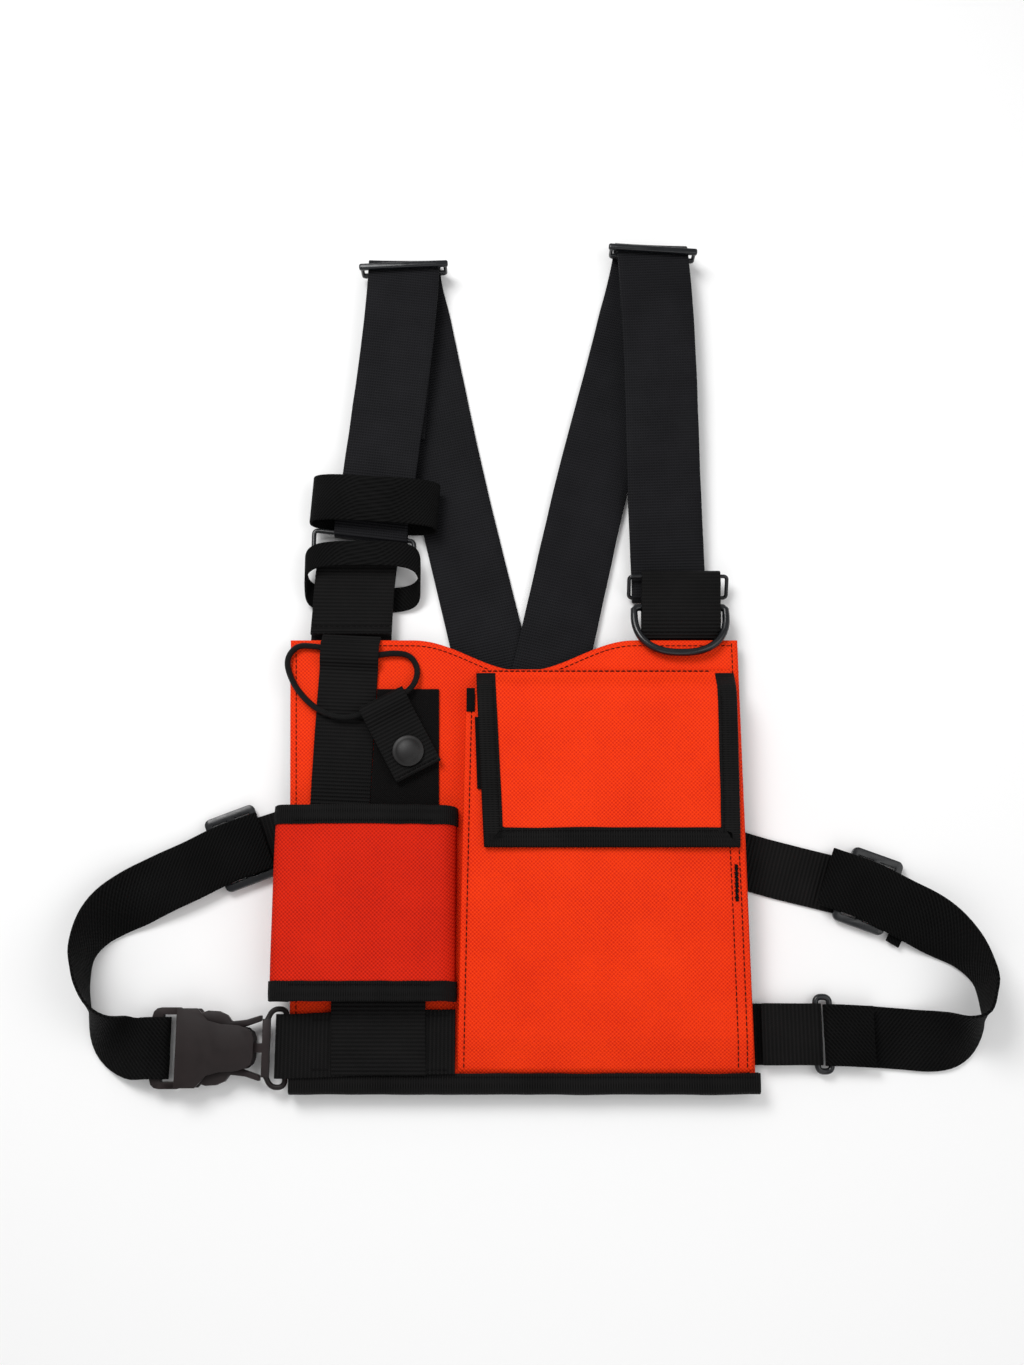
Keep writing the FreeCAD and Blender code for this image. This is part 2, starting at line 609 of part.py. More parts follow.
def mirrored_outline(points):
    """Outline from its upper half, mirrored about the buckle's centre line."""
    upper = [(x, BUCKLE_Y + w) for x, w in points]
    lower = [(x, BUCKLE_Y - w) for x, w in reversed(points)]
    return upper + lower


REAR_FRAME = 2.3                  # half thickness of the female's strap frame
female = prism(
    mirrored_outline(
        [(-164.0, 18.5), (-154.2, 18.5), (-151.6, 15.6), (-149.0, 12.8), (-143.0, 11.2), (-135.0, 10.6),
         (-130.4, 9.4), (-128.0, 7.4), (-127.0, 4.5)]
    ),
    buckle_low, buckle_high,
)
mouth = mirrored_outline([(-160.5, 15.6), (-120.0, 15.6)])
female = female.cut(prism(mouth, buckle_low + 1.9, buckle_high - 1.9))
window = mirrored_outline([(-158.5, 30.0), (-149.8, 30.0)])
female = female.cut(prism(window, buckle_low + 1.9, buckle_high - 1.9))
frame = prism(
    mirrored_outline([(-176.5, 14.6), (-175.8, 17.0), (-174.2, 18.5), (-172.0, 19.0), (-163.0, 19.0)]),
    FEMALE_BAR[1] - REAR_FRAME, FEMALE_BAR[1] + REAR_FRAME,
)
frame = frame.cut(box(-171.0, -164.0, BUCKLE_Y - 15.6, BUCKLE_Y + 15.6, -2, 40))
parts["buckle_female"] = female.fuse(frame).removeSplitter()

ARM = 1.3                         # radius of the male's bent arms
arms = route_tube(
    [(-121.7, BUCKLE_Y + 12.6, BUCKLE_Z), (-118.9, BUCKLE_Y + 18.2, BUCKLE_Z),
     (-112.2, BUCKLE_Y + 18.2, BUCKLE_Z), (-112.2, BUCKLE_Y - 18.2, BUCKLE_Z),
     (-118.9, BUCKLE_Y - 18.2, BUCKLE_Z), (-121.7, BUCKLE_Y - 12.6, BUCKLE_Z)],
    ARM,
)
crosspiece = box(-123.5, -119.9, BUCKLE_Y - 13.6, BUCKLE_Y + 13.6, BUCKLE_Z - 1.6, BUCKLE_Z + 1.6)
male = arms.fuse(crosspiece)
tongue = box(-150.0, -121.0, BUCKLE_Y - 2.2, BUCKLE_Y + 2.2, BUCKLE_Z - 1.6, BUCKLE_Z + 1.6)
parts["buckle_male"] = male.fuse(tongue).removeSplitter()

for name, side in (("prong_upper", 1), ("prong_lower", -1)):
    plan = [
        (-124.0, 15.4), (-124.0, 12.6), (-131.0, 10.2), (-138.0, 8.8), (-146.0, 9.6), (-156.6, 12.2),
        (-156.6, 14.6), (-152.4, 16.6), (-149.5, 17.5), (-144.5, 17.2), (-140.5, 15.4), (-138.2, 12.4),
        (-131.0, 13.2),
    ]
    outline = [(x, BUCKLE_Y + side * w) for x, w in plan]
    parts[name] = prism(outline, BUCKLE_Z - 2.6, BUCKLE_Z + 2.6)

# ---------------------------------------------------------------- elastic cord and its snap tab
cord_route = [
    (-84.5, 103.8, 12.2), (-94.0, 104.4, 12.0), (-103.6, 106.0, 11.9), (-112.6, 106.6, 11.9),
    (-118.0, 99.0, 11.9), (-114.6, 88.0, 11.9), (-107.6, 78.4, 12.8), (-98.6, 71.4, 13.9),
    (-87.5, 68.0, 15.0), (-76.2, 71.1, 15.0), (-65.2, 77.0, 15.0), (-54.2, 82.7, 14.8),
    (-50.6, 93.0, 12.2), (-55.0, 101.6, 11.9), (-64.6, 102.6, 12.0), (-74.0, 100.8, 12.0),
    (-83.0, 100.3, 12.2),
]
parts["shock_cord"] = route_tube(cord_route, CORD_D / 2)

TAB_TURN = 28.0
TAB_CENTRE = (-68.0, 75.5)        # the middle of the cord's passage through the tab
TAB_WIDTH = 25.0


def tab_piece(points):
    """Tab layer from its profile across the cord, drawn in the tab's own axes."""
    x, y = TAB_CENTRE
    wire = Part.makePolygon([V(x - TAB_WIDTH / 2, y + d, z) for d, z in points + points[:1]])
    return turned(Part.Face(wire).extrude(V(TAB_WIDTH, 0, 0)), TAB_TURN, (x, y, 0))


# the back layer turns up over the cord, and the front layer opens from there
parts["tab_back"] = tab_piece(
    [(-38.0, 11.6), (0.4, 11.6), (2.9, 12.7), (4.0, 15.2), (3.2, 17.3), (0.9, 18.3), (-2.8, 18.3),
     (-2.8, 17.1), (0.6, 17.1), (2.2, 16.6), (2.8, 15.2), (2.2, 13.6), (0.0, 12.8), (-38.0, 12.8)]
)
parts["tab_front"] = tab_piece(
    [(-3.9, 18.3), (-3.9, 17.1), (-9.0, 14.6), (-38.6, 13.9), (-38.6, 15.1), (-9.2, 15.9)]
)
tab_dir = (math.sin(math.radians(TAB_TURN)), -math.cos(math.radians(TAB_TURN)))
SNAP = (TAB_CENTRE[0] + 27.0 * tab_dir[0], TAB_CENTRE[1] + 27.0 * tab_dir[1])
cap = Part.makeCylinder(7.8, 1.2, V(*SNAP, 15.8)).fuse(Part.makeCone(7.8, 5.2, 1.6, V(*SNAP, 17.0)))
parts["snap_cap"] = cap.removeSplitter()

# ---------------------------------------------------------------- into the base frame
every = Part.makeCompound([s for n, s in parts.items() if n != "shock_cord"]).BoundBox
shift = V(-round(every.Center.x, 2), -round(every.Center.y, 2), -every.ZMin)
os.makedirs("parts", exist_ok=True)
for name, shape in parts.items():
    shape.translate(shift)
    shape.exportStep("parts/%s.step" % name)
    good = shape.isValid() and shape.Volume > 0 and len(shape.Solids) >= 1
    state = "ok " if good else "BAD"
    low = shape.BoundBox.ZMin
    print("%-24s %s solids %d volume %9.1f low %6.2f" % (name, state, len(shape.Solids), shape.Volume, low))
print("shift", shift, "size", every.XLength, every.YLength, every.ZLength, "nodes", len(parts))
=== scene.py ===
import math

import bmesh
import bpy
from mathutils import Matrix, Vector, noise


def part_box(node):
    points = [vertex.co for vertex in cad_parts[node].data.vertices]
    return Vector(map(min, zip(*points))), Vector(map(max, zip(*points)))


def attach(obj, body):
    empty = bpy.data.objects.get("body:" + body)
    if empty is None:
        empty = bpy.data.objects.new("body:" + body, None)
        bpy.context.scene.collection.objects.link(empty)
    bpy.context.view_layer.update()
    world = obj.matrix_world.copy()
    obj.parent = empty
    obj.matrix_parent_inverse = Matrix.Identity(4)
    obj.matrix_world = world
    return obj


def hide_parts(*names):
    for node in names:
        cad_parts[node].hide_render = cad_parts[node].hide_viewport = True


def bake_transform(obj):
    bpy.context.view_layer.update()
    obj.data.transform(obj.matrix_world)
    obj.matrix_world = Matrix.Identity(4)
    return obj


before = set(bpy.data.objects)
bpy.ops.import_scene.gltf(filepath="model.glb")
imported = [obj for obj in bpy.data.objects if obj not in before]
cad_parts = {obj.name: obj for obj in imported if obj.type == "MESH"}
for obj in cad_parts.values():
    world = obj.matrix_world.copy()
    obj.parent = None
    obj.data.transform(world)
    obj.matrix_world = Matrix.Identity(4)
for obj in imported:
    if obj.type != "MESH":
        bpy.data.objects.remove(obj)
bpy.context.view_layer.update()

mm = 0.001
panelLow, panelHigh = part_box("front_panel")
home = Vector((panelLow.x + 116.5 * mm, panelHigh.y - 110.0 * mm, 0.0))  # middle of the chest panel
print("frame loaded")


def at(x, y, z=0.0):
    return home + Vector((x, y, z)) * mm


def drift(x, y, z):
    return noise.noise(Vector((x, y, z)))  # smooth unevenness between -1 and 1, the same each run


def intoScene(thing):
    bpy.context.scene.collection.objects.link(thing)


def srgb(red, green, blue):
    parts = [v / 255 for v in (red, green, blue)]
    return tuple(v / 12.92 if v < 0.04 else ((v + 0.055) / 1.055) ** 2.4 for v in parts) + (1.0,)


# camera and light
camera = dict(target=(-4, 90, 0), elevation=77, distance=765, lens=39.56)
eye = bpy.data.objects.new("camera", bpy.data.cameras.new("camera"))
intoScene(eye)
tilt = math.radians(camera["elevation"])
away = Vector((0, -math.cos(tilt), math.sin(tilt)))
eye.location = at(*camera["target"]) + away * camera["distance"] * mm
eye.rotation_euler = away.to_track_quat("Z", "Y").to_euler()
eye.data.sensor_fit = "VERTICAL"
eye.data.sensor_height = 36
eye.data.lens = camera["lens"]
eye.data.clip_start = 0.01
bpy.context.scene.camera = eye

lights = [
    dict(name="keyLight", place=(-420, 620, 900), size=500, power=8.5),
    dict(name="fillLight", place=(620, 60, 800), size=700, power=2.5),
    dict(name="frontLight", place=(0, -620, 700), size=700, power=1.5),
]
for light in lights:
    data = bpy.data.lights.new(light["name"], "AREA")
    data.size = light["size"] * mm
    data.energy = light["power"]
    lamp = bpy.data.objects.new(light["name"], data)
    lamp.location = at(*light["place"])
    lamp.rotation_euler = (lamp.location - at(0, 90, 0)).to_track_quat("Z", "Y").to_euler()
    intoScene(lamp)
world = bpy.data.worlds.new("studio")
world.use_nodes = True
world.node_tree.nodes["Background"].inputs["Color"].default_value = (1, 1, 1, 1)
world.node_tree.nodes["Background"].inputs["Strength"].default_value = 0.42
bpy.context.scene.world = world
bpy.context.scene.view_settings.view_transform = "Standard"


# ---- materials
def linked(tree, kind, inputs=None, **settings):
    node = tree.nodes.new(kind)
    for key, value in settings.items():
        setattr(node, key, value)
    for key, value in (inputs or {}).items():
        if isinstance(value, bpy.types.NodeSocket):
            tree.links.new(value, node.inputs[key])
        else:
            node.inputs[key].default_value = value
    return node


def maths(tree, operation, first, second=0.0):
    return linked(tree, "ShaderNodeMath", {0: first, 1: second}, operation=operation).outputs[0]


def swing(tree, value, size):
    return maths(tree, "MULTIPLY", maths(tree, "SUBTRACT", value, 0.5), size)


def wave(tree, source, period):
    turns = maths(tree, "MULTIPLY", source, 2 * math.pi / (period * mm))
    return maths(tree, "SINE", turns)


def speckle(tree, place, size, detail=3.0):
    fine = {"Vector": place, "Scale": 1 / (size * mm), "Detail": detail}
    return linked(tree, "ShaderNodeTexNoise", fine).outputs["Fac"]


def startMaterial(name, look):
    mat = bpy.data.materials.new(name)
    mat.use_nodes = True
    tree = mat.node_tree
    shader = tree.nodes["Principled BSDF"]
    shader.inputs["Specular IOR Level"].default_value = look.get("specular", 0.35)
    shader.inputs["Sheen Weight"].default_value = look.get("sheen", 0.0)
    shader.inputs["Sheen Roughness"].default_value = 0.5
    shader.inputs["Coat Weight"].default_value = look.get("coat", 0.0)
    shader.inputs["Coat Roughness"].default_value = look.get("coatRoughness", 0.2)
    place = tree.nodes.new("ShaderNodeTexCoord")
    return mat, tree, shader, place


def finishMaterial(tree, shader, look, tone, height, grain):
    # tone runs from the shade colour to the full colour: painted shade between the threads of woven pieces, random
    # unevenness in tone, and lighter edges on moulded parts
    colour = linked(tree, "ShaderNodeMix", {"Factor": tone, "A": look["shade"], "B": look["colour"]},
                    data_type="RGBA")
    # a Mix node has number and colour sockets of the same names
    for socket in colour.inputs:
        if socket.type == "RGBA":
            socket.default_value = look["shade"] if socket.name == "A" else look["colour"]
    tree.links.new([s for s in colour.outputs if s.type == "RGBA"][0], shader.inputs["Base Color"])
    rough = linked(tree, "ShaderNodeMapRange", {"Value": grain, "From Min": 0.3, "From Max": 0.7,
                   "To Min": look["rough"] - look.get("roughSpread", 0.08),
                   "To Max": look["rough"] + look.get("roughSpread", 0.08)})
    tree.links.new(rough.outputs[0], shader.inputs["Roughness"])
    bump = linked(tree, "ShaderNodeBump", {"Height": height, "Strength": look["bump"],
                  "Distance": look.get("depth", 0.25) * mm})
    tree.links.new(bump.outputs[0], shader.inputs["Normal"])


def clothMaterial(name, look):
    # coated plain weave on object coordinates, uneven in tone, with painted shade between its threads
    mat, tree, shader, place = startMaterial(name, look)
    space = place.outputs["Object"]
    split = linked(tree, "ShaderNodeSeparateXYZ", {0: space})
    warp = wave(tree, split.outputs[0], look["pitch"])
    rise = maths(tree, "MULTIPLY", split.outputs[2], 0.4)  # keeps the weave's threads on sloping cloth
    weft = wave(tree, maths(tree, "ADD", split.outputs[1], rise), look["pitch"])
    weave = maths(tree, "MULTIPLY", warp, weft)
    cloud = speckle(tree, space, 30)
    grain = speckle(tree, space, 1.4, 4.0)
    # painted shade: the tone is darker where the weave is low, between the threads; cloud and grain add random
    # unevenness in tone
    tone = maths(tree, "MULTIPLY_ADD", weave, look["contrast"])
    tone.node.inputs[2].default_value = 0.62
    tone = maths(tree, "ADD", tone, swing(tree, cloud, 0.7))
    tone = maths(tree, "ADD", tone, swing(tree, grain, 0.5))
    height = maths(tree, "ADD", weave, maths(tree, "MULTIPLY", grain, 1.2))
    finishMaterial(tree, shader, look, tone, height, grain)
    return mat


def webMaterial(name, look):
    # woven tape: ribs across its length and yarns along it, on the piece's own weave map, with painted shade
    # between the ribs and yarns
    mat, tree, shader, place = startMaterial(name, look)
    space = place.outputs["UV"]
    split = linked(tree, "ShaderNodeSeparateXYZ", {0: space})
    across, along = split.outputs[0], split.outputs[1]
    slant = maths(tree, "ADD", along, maths(tree, "MULTIPLY", across, look.get("slant", 0.0)))
    ribs = wave(tree, slant, look["rib"])
    yarns = wave(tree, across, look["yarn"])
    weave = maths(tree, "MULTIPLY", ribs, maths(tree, "MULTIPLY_ADD", yarns, 0.35))
    weave.node.inputs[1].links[0].from_node.inputs[2].default_value = 0.65
    cloud = speckle(tree, place.outputs["Object"], 22)
    grain = speckle(tree, place.outputs["Object"], 0.9, 4.0)
    # painted shade: the tone is darker where the ribs and yarns are low; cloud and grain add random unevenness in
    # tone
    tone = maths(tree, "MULTIPLY_ADD", weave, look["contrast"])
    tone.node.inputs[2].default_value = 0.45
    tone = maths(tree, "ADD", tone, swing(tree, cloud, 0.8))
    tone = maths(tree, "ADD", tone, swing(tree, grain, 0.6))
    height = maths(tree, "ADD", weave, maths(tree, "MULTIPLY", grain, 0.7))
    finishMaterial(tree, shader, look, tone, height, grain)
    return mat


def mouldedMaterial(name, look):
    # moulded plastic or enamel: fine grain, scuffs, lighter along its edges
    mat, tree, shader, place = startMaterial(name, look)
    space = place.outputs["Object"]
    grain = speckle(tree, space, look["grain"], 4.0)
    scuffs = speckle(tree, space, 6, 6.0)
    edge = linked(tree, "ShaderNodeNewGeometry").outputs["Pointiness"]
    # made lighter where the surface is sharply convex, along its edges
    edgeLighter = linked(tree, "ShaderNodeMapRange", {"Value": edge, "From Min": 0.5, "From Max": 0.6}).outputs[0]
    tone = maths(tree, "ADD", maths(tree, "MULTIPLY", edgeLighter, 0.7), maths(tree, "MULTIPLY", scuffs, 0.6))
    finishMaterial(tree, shader, look, tone, grain, scuffs)
    return mat


black = srgb(4, 4, 4)
looks = dict(  # maker, slot in the record and look of each material
    pocketCloth=(clothMaterial, "pocket_cloth", dict(
        colour=srgb(242, 58, 8), shade=srgb(200, 28, 3), pitch=1.9, contrast=0.6, rough=0.75,
        bump=0.6, depth=0.22, specular=0.12)),
    bandCloth=(clothMaterial, "band_cloth", dict(
        colour=srgb(216, 38, 12), shade=srgb(164, 18, 6), pitch=1.9, contrast=0.6, rough=0.78,
        bump=0.6, depth=0.22, specular=0.1)),
    liningCloth=(clothMaterial, "lining_cloth", dict(
        colour=srgb(30, 30, 32), shade=srgb(10, 10, 11), pitch=1.3, contrast=0.4, rough=0.85,
        bump=0.5, depth=0.2, sheen=0.02, specular=0.1)),
    hookLoop=(clothMaterial, "hook_loop", dict(
        colour=srgb(24, 22, 22), shade=black, pitch=0.9, contrast=0.6, rough=0.95,
        bump=1.0, depth=0.5, sheen=0.02, specular=0.05)),
    yokeLeather=(clothMaterial, "yoke_leather", dict(
        colour=srgb(30, 28, 27), shade=srgb(10, 9, 9), pitch=2.6, contrast=0.1, rough=0.5,
        bump=0.35, depth=0.2, specular=0.3)),
    shoulderWebbing=(webMaterial, "shoulder_webbing", dict(
        colour=srgb(27, 27, 30), shade=srgb(5, 5, 7), rib=1.5, yarn=1.3, contrast=0.4, rough=0.6,
        bump=0.7, depth=0.25, sheen=0.004, specular=0.1)),
    linkWebbing=(webMaterial, "link_webbing", dict(
        colour=srgb(22, 21, 21), shade=srgb(3, 3, 3), rib=1.9, yarn=1.0, contrast=0.45, rough=0.7,
        bump=0.8, depth=0.3, sheen=0.008, specular=0.1)),
    elastic=(webMaterial, "elastic", dict(
        colour=srgb(18, 18, 18), shade=srgb(1, 1, 1), rib=2.0, yarn=1.6, slant=0.9, contrast=0.5,
        rough=0.8, bump=0.9, depth=0.35, sheen=0.006, specular=0.07)),
    edgeTape=(webMaterial, "edge_tape", dict(
        colour=srgb(26, 25, 25), shade=srgb(4, 4, 4), rib=1.2, yarn=2.2, contrast=0.45, rough=0.75,
        bump=0.7, depth=0.25, sheen=0.01, specular=0.08)),
    thread=(clothMaterial, "thread", dict(
        colour=srgb(16, 14, 15), shade=black, pitch=0.5, contrast=0.4, rough=0.6, bump=0.5,
        specular=0.1)),
    cord=(clothMaterial, "cord", dict(
        colour=srgb(26, 26, 26), shade=black, pitch=0.9, contrast=0.5, rough=0.6, bump=0.9,
        depth=0.25, specular=0.15)),
    glossNylon=(mouldedMaterial, "gloss_nylon", dict(
        colour=srgb(22, 24, 28), shade=srgb(4, 5, 7), grain=0.6, rough=0.26, bump=0.1, depth=0.1,
        coat=0.12, specular=0.35)),
    buckleAcetal=(mouldedMaterial, "buckle_acetal", dict(
        colour=srgb(38, 30, 30), shade=srgb(17, 13, 13), grain=0.5, rough=0.5, bump=0.25, depth=0.1,
        specular=0.22)),
    snapEnamel=(mouldedMaterial, "snap_enamel", dict(
        colour=srgb(27, 25, 25), shade=srgb(8, 7, 7), grain=0.5, rough=0.48, bump=0.15, depth=0.1,
        specular=0.35)),
)
paint = {name: make(name, look) for name, (make, _, look) in looks.items()}
print("materials made")


# ---- shaping helpers
def finishPiece(name, bm, finish, body="root", nodes=(), bend=None, thick=0.0, offset=0.0, rounding=0.0,
                smooth=0, sharp=None):
    # bend is (start, end) in layout millimetres, where the real piece turns from the root to its body; here a piece
    # given a bend is only baked in place and attached to no body
    mesh = bpy.data.meshes.new(name)
    bm.to_mesh(mesh)
    bm.free()
    mesh.materials.append(paint[finish])
    mesh.shade_smooth()
    if sharp:
        mesh.set_sharp_from_angle(angle=math.radians(sharp))
    piece = bpy.data.objects.new(name, mesh)
    intoScene(piece)
    if thick:
        solidify = piece.modifiers.new("thickness", "SOLIDIFY")
        solidify.thickness = thick * mm
        solidify.offset = offset
    if rounding:
        bevel = piece.modifiers.new("rounding", "BEVEL")
        bevel.width = rounding * mm
        bevel.segments = 2
        bevel.limit_method = "ANGLE"
        bevel.angle_limit = math.radians(40)
    if smooth:
        soften = piece.modifiers.new("soften", "SUBSURF")
        soften.levels = smooth
        soften.render_levels = smooth
    if bend:
        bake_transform(piece)
    else:
        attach(piece, body)
    if nodes:
        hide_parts(*nodes)
    return piece


def outward(bm):
    bmesh.ops.recalc_face_normals(bm, faces=bm.faces)


def shapedGrid(columns, rows, shaper):
    # a grid whose points are sent to shaper(column, row), which gives a place and its weave map
    bm = bmesh.new()
    bmesh.ops.create_grid(bm, x_segments=columns, y_segments=rows, size=0.5)
    weave = bm.loops.layers.uv.new("weave")
    maps = {}
    for vert in bm.verts:
        column = round((vert.co.x + 0.5) * columns)
        row = round((vert.co.y + 0.5) * rows)
        vert.co, maps[vert] = shaper(column, row)
    for face in bm.faces:
        for loop in face.loops:
            loop[weave].uv = maps[loop.vert]
    return bm


def curvedThrough(points, gap):
    # smooth run of places through given points, gap millimetres apart at most
    rows = [list(p) for p in points]
    ends = [0.0]
    for one, two in zip(rows, rows[1:]):
        ends.append(ends[-1] + max(math.dist(one[:3], two[:3]), 1e-6))
    last = len(rows) - 1

    def slope(i, k):
        if i == 0 or i == last:
            a, b = (0, 1) if i == 0 else (last - 1, last)
            return (rows[b][k] - rows[a][k]) / (ends[b] - ends[a])
        before = (rows[i][k] - rows[i - 1][k]) / (ends[i] - ends[i - 1])
        after = (rows[i + 1][k] - rows[i][k]) / (ends[i + 1] - ends[i])
        if before * after <= 0:
            return 0.0
        span = ends[i + 1] - ends[i - 1]
        even = (before * (ends[i + 1] - ends[i]) + after * (ends[i] - ends[i - 1])) / span
        most = 3 * min(abs(before), abs(after))  # no overshoot past the next point
        return math.copysign(min(abs(even), most), even)

    made = []
    for i in range(last):
        length = ends[i + 1] - ends[i]
        steps = max(2, math.ceil(length / gap))
        for step in range(steps):
            t = step / steps
            made.append([
                (2 * t ** 3 - 3 * t ** 2 + 1) * rows[i][k] + (t ** 3 - 2 * t ** 2 + t) * length * slope(i, k)
                + (3 * t ** 2 - 2 * t ** 3) * rows[i + 1][k] + (t ** 3 - t ** 2) * length * slope(i + 1, k)
                for k in range(len(rows[0]))
            ])
    made.append(rows[-1])
    return made


def webFrames(stations, gap):
    # centre, across and up directions and the length so far, along a web through its stations
    full = [tuple(s) + (0.0,) * (5 - len(s)) for s in stations]
    run = curvedThrough(full, gap)
    centres = [Vector(s[:3]) for s in run]
    frames = []
    far = 0.0
    last = len(run) - 1
    for i, station in enumerate(run):
        lay, lean = math.radians(station[3]), math.radians(station[4])
        across = Vector((math.cos(lay) * math.cos(lean), math.sin(lay) * math.cos(lean), math.sin(lean)))
        ahead = centres[min(i + 1, last)] - centres[max(i - 1, 0)]
        if i:
            far += (centres[i] - centres[i - 1]).length
        frames.append((centres[i], across, across.cross(ahead).normalized(), far))
    return frames


def webPiece(look, stations, finish, nodes=(), body="root", bend=None):
    # flat woven strap with a slightly thinner selvedge and a little unevenness
    frames = webFrames(stations, look.get("gap", 4.0))
    columns = look.get("columns", 8)
    width = look["width"]

    def shaper(column, row):
        centre, across, up, far = frames[row]
        share = column / columns - 0.5
        side = share * (width + 0.25 * drift(far * 0.06, look.get("seed", 1.0), 0))
        ripple = look.get("ripple", 0.12) * drift(far * 0.07, share * 2, look.get("seed", 1.0))
        spot = centre + across * side + up * ripple
        return at(*spot), (side * mm, far * mm)

    bm = shapedGrid(columns, len(frames) - 1, shaper)
    return finishPiece(look["name"], bm, finish, body, nodes, bend, thick=look["thick"], rounding=0.3)


def turnRound(y, z, radius, startDeg, endDeg, steps, x, lay, layEnd=None, xEnd=None):
    # stations where a web turns round a bar that lies across it
    layEnd = lay if layEnd is None else layEnd
    xEnd = x if xEnd is None else xEnd
    made = []
    for i in range(steps + 1):
        share = i / steps
        a = math.radians(startDeg + (endDeg - startDeg) * share)
        made.append((x + (xEnd - x) * share, y + radius * math.cos(a), z + radius * math.sin(a),
                     lay + (layEnd - lay) * share))
    return made


def endTurn(x, y, z, radius, side, lay, tilt=0.0, top=True):
    # stations where a web turns round an upright-lying bar at the left (-1) or right (1)
    angles = range(0, 181, 30)
    sign = 1 if top else -1
    return [(x + side * radius * math.sin(math.radians(a)), y, z + sign * radius * math.cos(math.radians(a)),
             lay, tilt) for a in angles]


def stitches(name, runs, body="root", nodes=(), bend=None, pitch=2.8, length=2.65, girth=0.27, finish="thread"):
    # rows of short thread bars along runs of places in layout millimetres
    bm = bmesh.new()
    for points in runs:
        left = 0.0
        for one, two in zip(points, points[1:]):
            a, b = Vector(one), Vector(two)
            span = (b - a).length
            while left < span:
                middle = a.lerp(b, left / span)
                matrix = (
                    Matrix.Translation(at(*middle))
                    @ (b - a).to_track_quat("X", "Z").to_matrix().to_4x4()
                    @ Matrix.Diagonal((length / 2 * mm, girth * mm, girth * mm, 1.0))
                )
                bmesh.ops.create_icosphere(bm, subdivisions=1, radius=1.0, matrix=matrix)
                left += pitch
            left -= span
    return finishPiece(name, bm, finish, body, nodes, bend)


def sampled(function, start, end, steps):
    return [function(start + (end - start) * i / steps) for i in range(steps + 1)]


def alongSpine(spine, y, ease=0.0):
    # height at y between listed (y, height) points, eased in and out of each point by the given share
    for (y0, z0), (y1, z1) in zip(spine, spine[1:]):
        if y <= y1:
            share = max(0.0, (y - y0) / (y1 - y0))
            share = share * share * (3 - 2 * share) * ease + share * (1 - ease)
            return z0 + (z1 - z0) * share
    return spine[-1][1]


def sideEdge(shape, side, share):
    # x of a piece's left (-1) or right (1) edge, share of the way up it
    low, high = ("leftBottom", "leftTop") if side < 0 else ("rightBottom", "rightTop")
    return shape[low] + (shape[high] - shape[low]) * share


# ---- chest panel
panel = dict(top=110.0, bottom=-111.0, leftTop=-116.5, leftBottom=-109.5, rightTop=110.3, rightBottom=111.8,
             neckCentre=2.0, neckHalf=56.0, neckDepth=16.0, frontZ=9.7, seamZ=7.3, backZ=5.0)


def panelTop(x):
    reach = abs(x - panel["neckCentre"]) / panel["neckHalf"]
    dip = panel["neckDepth"] * (0.5 + 0.5 * math.cos(math.pi * reach)) if reach < 1 else 0.0
    return panel["top"] - dip


def panelEdge(y, side):
    return sideEdge(panel, side, (y - panel["bottom"]) / (panel["top"] - panel["bottom"]))


def borderPlace(index, count):
    # distance in from the edge and share of the way down the turned edge
    near = min(index, count - index)
    rim = [(0.0, 1.0), (0.05, 0.45), (0.7, 0.0), (3.0, -0.12), (3.9, -0.12)]
    inset, drop = rim[near] if near < len(rim) else (None, -0.3)
    return inset, drop


def panelSide(surface, seam, flip):
    columns, rows = 76, 74

    def shaper(column, row):
        insetX, dropX = borderPlace(column, columns)
        insetY, dropY = borderPlace(row, rows)
        y = panel["bottom"] + (panel["top"] - panel["bottom"]) * row / rows
        left, right = panelEdge(y, -1), panelEdge(y, 1)
        x = left + (right - left) * column / columns
        if insetX is not None:
            x = left + insetX if column < columns / 2 else right - insetX
        top = panelTop(x)
        y = panel["bottom"] + (top - panel["bottom"]) * row / rows
        if insetY is not None:
            y = panel["bottom"] + insetY if row < rows / 2 else top - insetY
        drop = max(dropX, dropY)
        if drop >= 0:
            z = surface + (seam - surface) * drop
        else:
            puff = -drop * (0.8 + 1.2 * drift(x * 0.02, y * 0.02, 3.0 if flip else 0.0))
            z = surface + (surface - seam) / abs(surface - seam) * puff
        return at(x, y, z), (x * mm, y * mm)

    bm = shapedGrid(columns, rows, shaper)
    if flip:
        bmesh.ops.reverse_faces(bm, faces=bm.faces)
    return bm


front = finishPiece("panel_front", panelSide(panel["frontZ"], panel["seamZ"], False), "pocketCloth",
                    nodes=["front_panel"], thick=0.5, offset=-1)
back = finishPiece("panel_lining", panelSide(panel["backZ"], panel["seamZ"], True), "liningCloth",
                   nodes=["back_lining", "foam_pad"], thick=0.5, offset=-1)

seam = dict(inset=3.2, z=9.95)
stitches("panel_topstitch", [
    sampled(lambda t: (panelEdge(t, -1) + seam["inset"], t, seam["z"]), -100, 107, 40),
    sampled(lambda t: (t, panelTop(t) - seam["inset"], seam["z"]), -113, 106, 60),
    sampled(lambda t: (panelEdge(t, 1) - seam["inset"], t, seam["z"]), 107, 92, 3),
])
print("panel made")

# tape folded over the panel's lower edge
tape = dict(left=-110.1, right=113.9, columns=8, rows=90)


